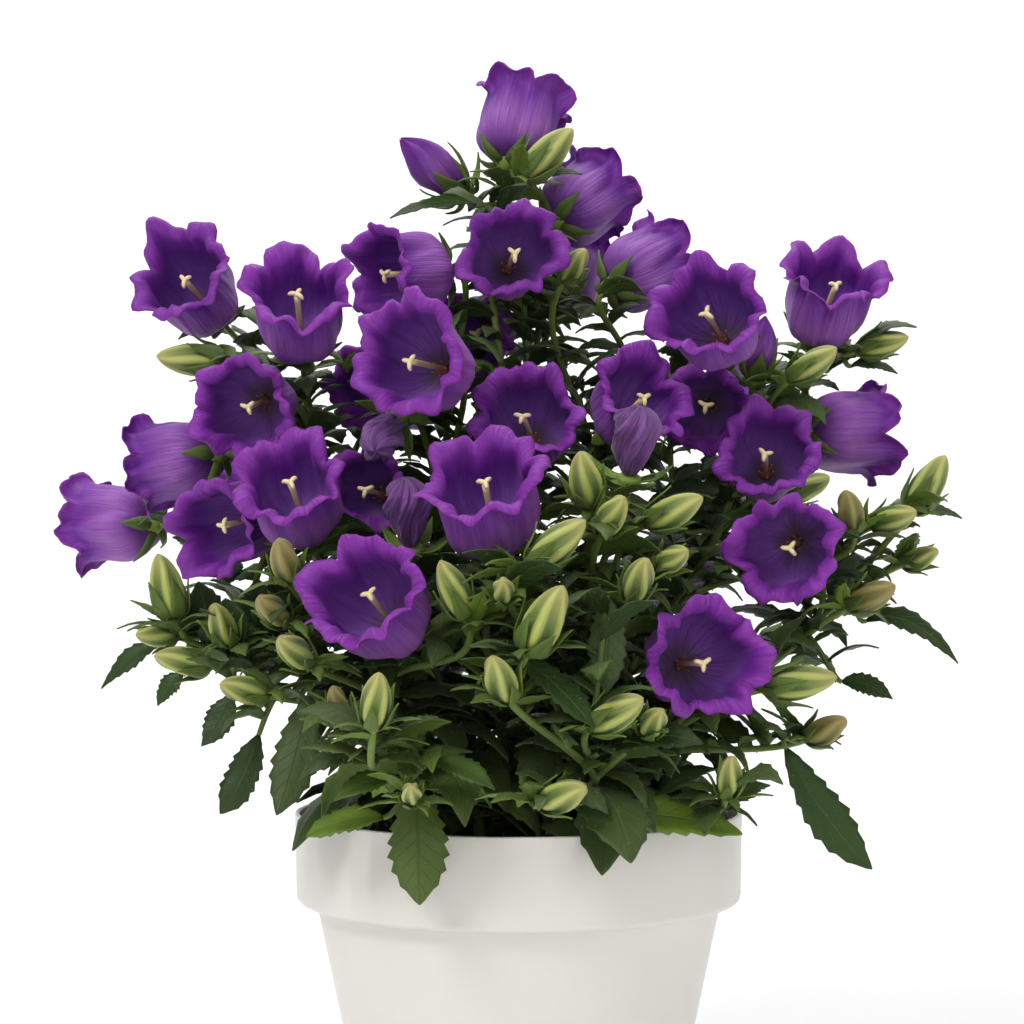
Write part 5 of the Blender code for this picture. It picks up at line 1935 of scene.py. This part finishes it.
@dataclass
class Pot:
    """The pot with its wide rounded lip and its drain holes."""

    steps: int = 144
    lip_depth: float = 33.0
    lip_taper: float = 0.7
    body_top: float = 77.0
    base: float = 56.0
    wall: float = 1.8
    floor: float = 2.4
    holes: int = 4
    hole_radius: float = 4.0
    hole_circle: float = 36.0
    hole_depth: float = 20.0

    def rounded(self, corners: list[Point]) -> list[tuple[float, float]]:
        """A profile whose corners are rounded.

        Args:
            corners: Radius, height and rounding of each corner.

        Returns:
            The points of the profile.
        """
        points = []
        neighbours = zip([corners[0]] + corners, corners, corners[1:] + [corners[-1]])
        for before, here, after in neighbours:
            place = np.array(here[:2])
            if here[2] <= 0:
                points.append(tuple(place))
                continue
            start = place + normalised(np.array(before[:2]) - place) * here[2]
            end = place + normalised(np.array(after[:2]) - place) * here[2]
            for t in np.linspace(0.0, 1.0, 6):
                point = start * (1 - t) ** 2 + place * 2 * t * (1 - t) + end * t * t
                points.append(tuple(point))
        return points

    def profile(self) -> list[tuple[float, float]]:
        """The wall's outline, down its outside after its inside."""
        ledge = POT_HEIGHT - self.lip_depth
        inner_lip = RIM_RADIUS - self.wall
        low = self.base + (self.body_top - self.base) * self.floor / ledge
        return self.rounded(
            [
                (0.0, self.floor, 0.0),
                (low - self.wall, self.floor, 3.0),
                (self.body_top - self.wall, ledge + self.wall, 0.6),
                (inner_lip - self.lip_taper, ledge + self.wall, 1.0),
                (inner_lip, POT_HEIGHT, 0.75),
                (RIM_RADIUS, POT_HEIGHT, 0.75),
                (RIM_RADIUS - self.lip_taper, ledge, 2.6),
                (self.body_top, ledge, 1.0),
                (self.base, 0.0, 1.4),
                (0.0, 0.0, 0.0),
            ]
        )

    def build(self, finish: Material) -> Object:
        """Make the pot.

        Args:
            finish: Its material.

        Returns:
            The pot's object.
        """
        mesh = bpy.data.meshes.new("pot_profile")
        points = [(radius * MM, 0.0, height * MM) for radius, height in self.profile()]
        mesh.from_pydata(points, [(i, i + 1) for i in range(len(points) - 1)], [])
        item = new_object("pot_body", mesh)
        screw = item.modifiers.new("turn", "SCREW")
        screw.steps = self.steps
        screw.render_steps = self.steps
        screw.use_merge_vertices = True
        screw.merge_threshold = 0.02 * MM
        cutters = []
        for number in range(self.holes):
            place = spoke(math.tau * (number + 0.5) / self.holes) * self.hole_circle * MM
            bpy.ops.mesh.primitive_cylinder_add(
                vertices=32,
                radius=self.hole_radius * MM,
                depth=self.hole_depth * MM,
                location=tuple(place),
            )
            cutters.append(bpy.context.object)
            cut = item.modifiers.new(f"hole_{number}", "BOOLEAN")
            cut.operation = "DIFFERENCE"
            cut.object = cutters[-1]
        return plain_copy(item, "pot_body_smooth", finish, cutters)


def new_object(name: str, data: bpy.types.ID) -> Object:
    """Add an object to the scene."""
    made = bpy.data.objects.new(name, data)
    bpy.context.scene.collection.objects.link(made)
    return made


def settle(item: Object, node: str | None = None) -> None:
    """Tie a piece to the root and, where it stands for a node, hide that node."""
    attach(item, "root")
    if node:
        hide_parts(node)
    LOG.info("%s: %d faces", item.name, len(item.data.polygons))


def plain_copy(
    item: Object, name: str, finish: Material, spent: list[Object]
) -> Object:
    """A plain object of what an object's modifiers make.

    Args:
        item: The object with modifiers, which is removed.
        name: The new object's name.
        finish: The new object's material.
        spent: Other objects to remove.

    Returns:
        The new object.
    """
    graph = bpy.context.evaluated_depsgraph_get()
    graph.update()
    mesh = bpy.data.meshes.new_from_object(item.evaluated_get(graph))
    for old in [item, *spent]:
        bpy.data.objects.remove(old, do_unlink=True)
    mesh.name = name
    mesh.materials.clear()
    mesh.materials.append(finish)
    mesh.polygons.foreach_set("material_index", [0] * len(mesh.polygons))
    mesh.polygons.foreach_set("use_smooth", [True] * len(mesh.polygons))
    mesh.set_sharp_from_angle(angle=math.radians(35.0))
    return new_object(name, mesh)


class Scatter(Wiring):
    """A Geometry Nodes tree that sets small bodies on a surface."""

    def __init__(self, name: str, finish: Material) -> None:
        """Start the tree with its named inputs.

        Args:
            name: The tree's name.
            finish: The material of what it sets.
        """
        super().__init__(bpy.data.node_groups.new(name, "GeometryNodeTree"))
        face = self.tree.interface
        face.new_socket("Geometry", in_out="INPUT", socket_type="NodeSocketGeometry")
        self.named: dict[str, str] = {}
        kinds = {"Density": "Float", "Length": "Float", "Radius": "Float", "Seed": "Int"}
        for label, kind in kinds.items():
            made = face.new_socket(label, in_out="INPUT", socket_type=f"NodeSocket{kind}")
            self.named[label] = made.identifier
        face.new_socket("Geometry", in_out="OUTPUT", socket_type="NodeSocketGeometry")
        self.inputs = self.node("NodeGroupInput")
        self.finish = finish

    def finish_tree(self, body: Socket, lean: float, low: float, high: float) -> None:
        """Spread a body over the surface and close the tree.

        Args:
            body: The socket that gives the small body.
            lean: How far each body turns at random from the surface's own direction.
            low: The least share of its size.
            high: The greatest share of its size.
        """
        spread = self.node("GeometryNodeDistributePointsOnFaces", distribute_method="RANDOM")
        placed = self.node("GeometryNodeInstanceOnPoints")
        sizes = self.node("FunctionNodeRandomValue", data_type="FLOAT")
        sizes.inputs[2].default_value = low
        sizes.inputs[3].default_value = high
        turns = self.node("FunctionNodeRandomValue", data_type="FLOAT_VECTOR")
        turns.inputs[0].default_value = (-lean, -lean, -lean)
        turns.inputs[1].default_value = (lean, lean, lean)
        convert = self.node("FunctionNodeEulerToRotation")
        tilt = self.node("FunctionNodeRotateRotation", rotation_space="LOCAL")
        real = self.node("GeometryNodeRealizeInstances")
        coat = self.node("GeometryNodeSetMaterial")
        coat.inputs["Material"].default_value = self.finish
        end = self.node("NodeGroupOutput")
        given = self.inputs.outputs
        for source, target in (
            (given["Geometry"], spread.inputs["Mesh"]),
            (given["Density"], spread.inputs["Density"]),
            (given["Seed"], spread.inputs["Seed"]),
            (given["Seed"], sizes.inputs["Seed"]),
            (spread.outputs["Points"], placed.inputs["Points"]),
            (body, placed.inputs["Instance"]),
            (sizes.outputs[1], placed.inputs["Scale"]),
            (turns.outputs[0], convert.inputs[0]),
            (spread.outputs["Rotation"], tilt.inputs[0]),
            (convert.outputs[0], tilt.inputs[1]),
            (tilt.outputs[0], placed.inputs["Rotation"]),
            (placed.outputs[0], real.inputs[0]),
            (real.outputs[0], coat.inputs["Geometry"]),
            (coat.outputs[0], end.inputs[0]),
        ):
            self.join(source, target)

    def apply(
        self,
        mesh: bpy.types.Mesh,
        name: str,
        density: float,
        length: float,
        radius: float,
        seed: int,
    ) -> Object:
        """Run the tree on a mesh.

        Args:
            mesh: The surface.
            name: The result's name.
            density: Bodies in a square metre.
            length: A body's length in millimetres.
            radius: A body's radius in millimetres.
            seed: The seed of the spread.

        Returns:
            A plain object of the small bodies.
        """
        item = new_object(f"{name}_ground", mesh)
        modifier = item.modifiers.new("scatter", "NODES")
        modifier.node_group = self.tree
        modifier[self.named["Density"]] = density
        modifier[self.named["Length"]] = length * MM
        modifier[self.named["Radius"]] = radius * MM
        modifier[self.named["Seed"]] = seed
        return plain_copy(item, name, self.finish, [])


def hair_scatter(finish: Material) -> Scatter:
    """Fine hairs that stand out from a surface."""
    scatter = Scatter("fine_hairs", finish)
    cone = scatter.node("GeometryNodeMeshCone")
    cone.inputs["Vertices"].default_value = 3
    scatter.join(scatter.inputs.outputs["Length"], cone.inputs["Depth"])
    scatter.join(scatter.inputs.outputs["Radius"], cone.inputs["Radius Bottom"])
    scatter.finish_tree(cone.outputs["Mesh"], 0.5, 0.5, 1.25)
    return scatter


def crumb_scatter(finish: Material) -> Scatter:
    """Crumbs that lie on a surface at any turn."""
    scatter = Scatter("soil_crumbs", finish)
    ball = scatter.node("GeometryNodeMeshIcoSphere")
    scatter.join(scatter.inputs.outputs["Radius"], ball.inputs["Radius"])
    scale = scatter.node("GeometryNodeTransform")
    scale.inputs["Scale"].default_value = (1.0, 0.75, 0.6)
    scatter.join(ball.outputs["Mesh"], scale.inputs["Geometry"])
    scatter.finish_tree(scale.outputs[0], math.pi, 0.4, 1.5)
    return scatter


@dataclass
class Soil:
    """The domed soil with its uneven top."""

    reach: float = SOIL_REACH
    rings: int = 36
    columns: int = 120
    floor: float = 99.5
    waves: tuple[Point, ...] = ((0.8, 9.0, 0.4), (0.6, 4.6, 1.9), (0.45, 2.3, 3.3), (0.3, 1.3, 5.2))

    def draft(self) -> Draft:
        """The soil as a closed body."""
        turns = full_turn(self.columns)
        radii = np.linspace(1.0, 0.01, self.rings)[:, None] * self.reach
        heights = np.array([[soil_height(radius)] for radius in radii[:, 0]]) * np.ones_like(turns)
        x = radii * np.cos(turns)
        y = radii * np.sin(turns)
        rough = sum(
            size * np.sin(x / span + phase) * np.cos(y / span * 1.3 - 2 * phase)
            for size, span, phase in self.waves
        )
        heights += rough * np.clip((self.reach - radii) / 6.0, 0.0, 1.0)
        top = np.stack([x, y, heights], axis=-1)
        side = np.stack([x[0], y[0], np.full(self.columns, self.floor)], axis=-1)[None]
        bottom = side * np.array((0.02, 0.02, 1.0))
        grid = np.concatenate([bottom, side, top])
        made = Draft()
        made.add_tube(grid, ring_places(len(grid), self.columns), Finish.STEM, 0.5)
        return made


class Studio:
    """A pale floor that sweeps up behind, soft lights and the camera."""

    floor_colour: Colour = (0.93, 0.93, 0.93)
    camera_place: Point = (-2.5, -765.0, 215.7)
    camera_pitch: float = 2.1
    lens: float = 69.96
    floor_near: float = -1100.0
    floor_far: float = 700.0
    sweep: float = 900.0
    wall_top: float = 2600.0
    half_width: float = 1400.0
    drop: float = 0.2

    def build(self) -> None:
        """Make the studio."""
        self.make_floor()
        self.make_world()
        middle = (0.0, 0.0, 220.0)
        self.make_light("key", (-800, -1300, 1500), middle, 700, 23.0)
        self.make_light("fill", (1300, -1100, 700), middle, 1200, 5.0)
        self.make_light("front", (0, -1700, 500), middle, 900, 4.0)
        self.make_light("sweep", (0, 500, 1800), (0, 1300, 200), 1500, 25.0)
        self.make_camera()

    def make_floor(self) -> None:
        """The floor and its sweep, as one sheet."""
        course = [(self.floor_near, 0.0), (self.floor_far, 0.0)]
        for angle in np.radians(np.linspace(0.0, 90.0, 17)[1:]):
            far = self.floor_far + self.sweep * math.sin(angle)
            course.append((far, self.sweep * (1.0 - math.cos(angle))))
        course.append((self.floor_far + self.sweep, self.wall_top))
        sides = (-self.half_width, self.half_width)
        points = [(x * MM, y * MM, (z - self.drop) * MM) for y, z in course for x in sides]
        faces = [(2 * i, 2 * i + 1, 2 * i + 3, 2 * i + 2) for i in range(len(course) - 1)]
        mesh = bpy.data.meshes.new("floor")
        mesh.from_pydata(points, [], faces)
        mesh.polygons.foreach_set("use_smooth", [True] * len(faces))
        mesh.materials.append(Sketch("floor_pale").done(self.floor_colour, Roughness=0.8))
        new_object("floor", mesh)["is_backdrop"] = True

    def make_world(self) -> None:
        """An even pale surround."""
        world = bpy.data.worlds.new("surround")
        world.use_nodes = True
        wiring = Wiring(world.node_tree)
        sky = wiring.tree.nodes["Background"]
        sky.inputs["Color"].default_value = (1.0, 1.0, 1.0, 1.0)
        rays = wiring.node("ShaderNodeLightPath")
        power = wiring.node("ShaderNodeMapRange")
        power.inputs["To Min"].default_value = 0.25
        power.inputs["To Max"].default_value = 1.0
        wiring.join(rays.outputs["Is Camera Ray"], power.inputs["Value"])
        wiring.join(power.outputs["Result"], sky.inputs["Strength"])
        bpy.context.scene.world = world

    def make_light(
        self, name: str, place: Point, target: Point, size: float, power: float
    ) -> None:
        """A square soft light.

        Args:
            name: Its name.
            place: Its place in millimetres.
            target: The point that it faces.
            size: The length of its side in millimetres.
            power: Its power in watts.
        """
        light = bpy.data.lights.new(name, "AREA")
        light.size = size * MM
        light.energy = power
        item = new_object(name, light)
        item.location = Vector(place) * MM
        facing = Vector(target) * MM - item.location
        item.rotation_euler = facing.to_track_quat("-Z", "Y").to_euler()

    def make_camera(self) -> None:
        """The camera at the photograph's viewing angle."""
        camera = bpy.data.cameras.new("camera")
        camera.lens = self.lens
        camera.sensor_width = 36.0
        camera.clip_start = 0.01
        item = new_object("camera", camera)
        item.location = Vector(self.camera_place) * MM
        item.rotation_euler = (math.radians(90.0 + self.camera_pitch), 0.0, 0.0)
        bpy.context.scene.camera = item
        bpy.context.scene.view_settings.view_transform = "Standard"


def make_hairs(finish: Material) -> None:
    """Fine hairs on the stems, buds and leaf edges."""
    meshes = [item.data for item in bpy.data.objects if item.name.startswith("leafy_stem_")]
    points = [corner.co[:] for mesh in meshes for corner in mesh.vertices]
    faces = []
    first = 0
    for mesh in meshes:
        faces.extend([first + corner for corner in face.vertices] for face in mesh.polygons)
        first += len(mesh.vertices)
    ground = bpy.data.meshes.new("hair_ground")
    ground.from_pydata(points, [], faces)
    sizes = (HAIR_DENSITY, HAIR_LENGTH, HAIR_RADIUS)
    settle(hair_scatter(finish).apply(ground, "fine_hairs", *sizes, SEED))


def make_pot_and_soil() -> None:
    """The pot, the soil in it and the crumbs on the soil."""
    settle(Pot().build(PotFinish().material()), "pot")
    earth = SoilFinish().material()
    soil = Soil().draft().object("soil_rough", [earth] * len(Finish))
    settle(soil, "soil")
    points = [corner.co[:] for corner in soil.data.vertices]
    faces = soil.data.polygons
    top = [tuple(face.vertices) for face in faces if face.center.z > SOIL_TOP_ABOVE]
    ground = bpy.data.meshes.new("crumb_ground")
    ground.from_pydata(points, [], top)
    sizes = (CRUMB_DENSITY, CRUMB_RADIUS, CRUMB_RADIUS)
    settle(crumb_scatter(earth).apply(ground, "soil_crumbs", *sizes, SEED))


def main() -> None:
    """Dress the frame, light it and note the sizes."""
    logging.basicConfig(level=logging.INFO, format="%(name)s %(message)s")
    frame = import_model()
    finishes = [
        PetalFinish().material(),
        PistilFinish().material(),
        SpentFinish().material(),
        StemFinish().material(),
        LeafFinish().material(),
        BudFinish().material(),
    ]
    make_pot_and_soil()
    Plant(frame["nodes"], finishes).build()
    make_hairs(HairFinish().material())
    Studio().build()


if __name__ == "__main__":
    main()
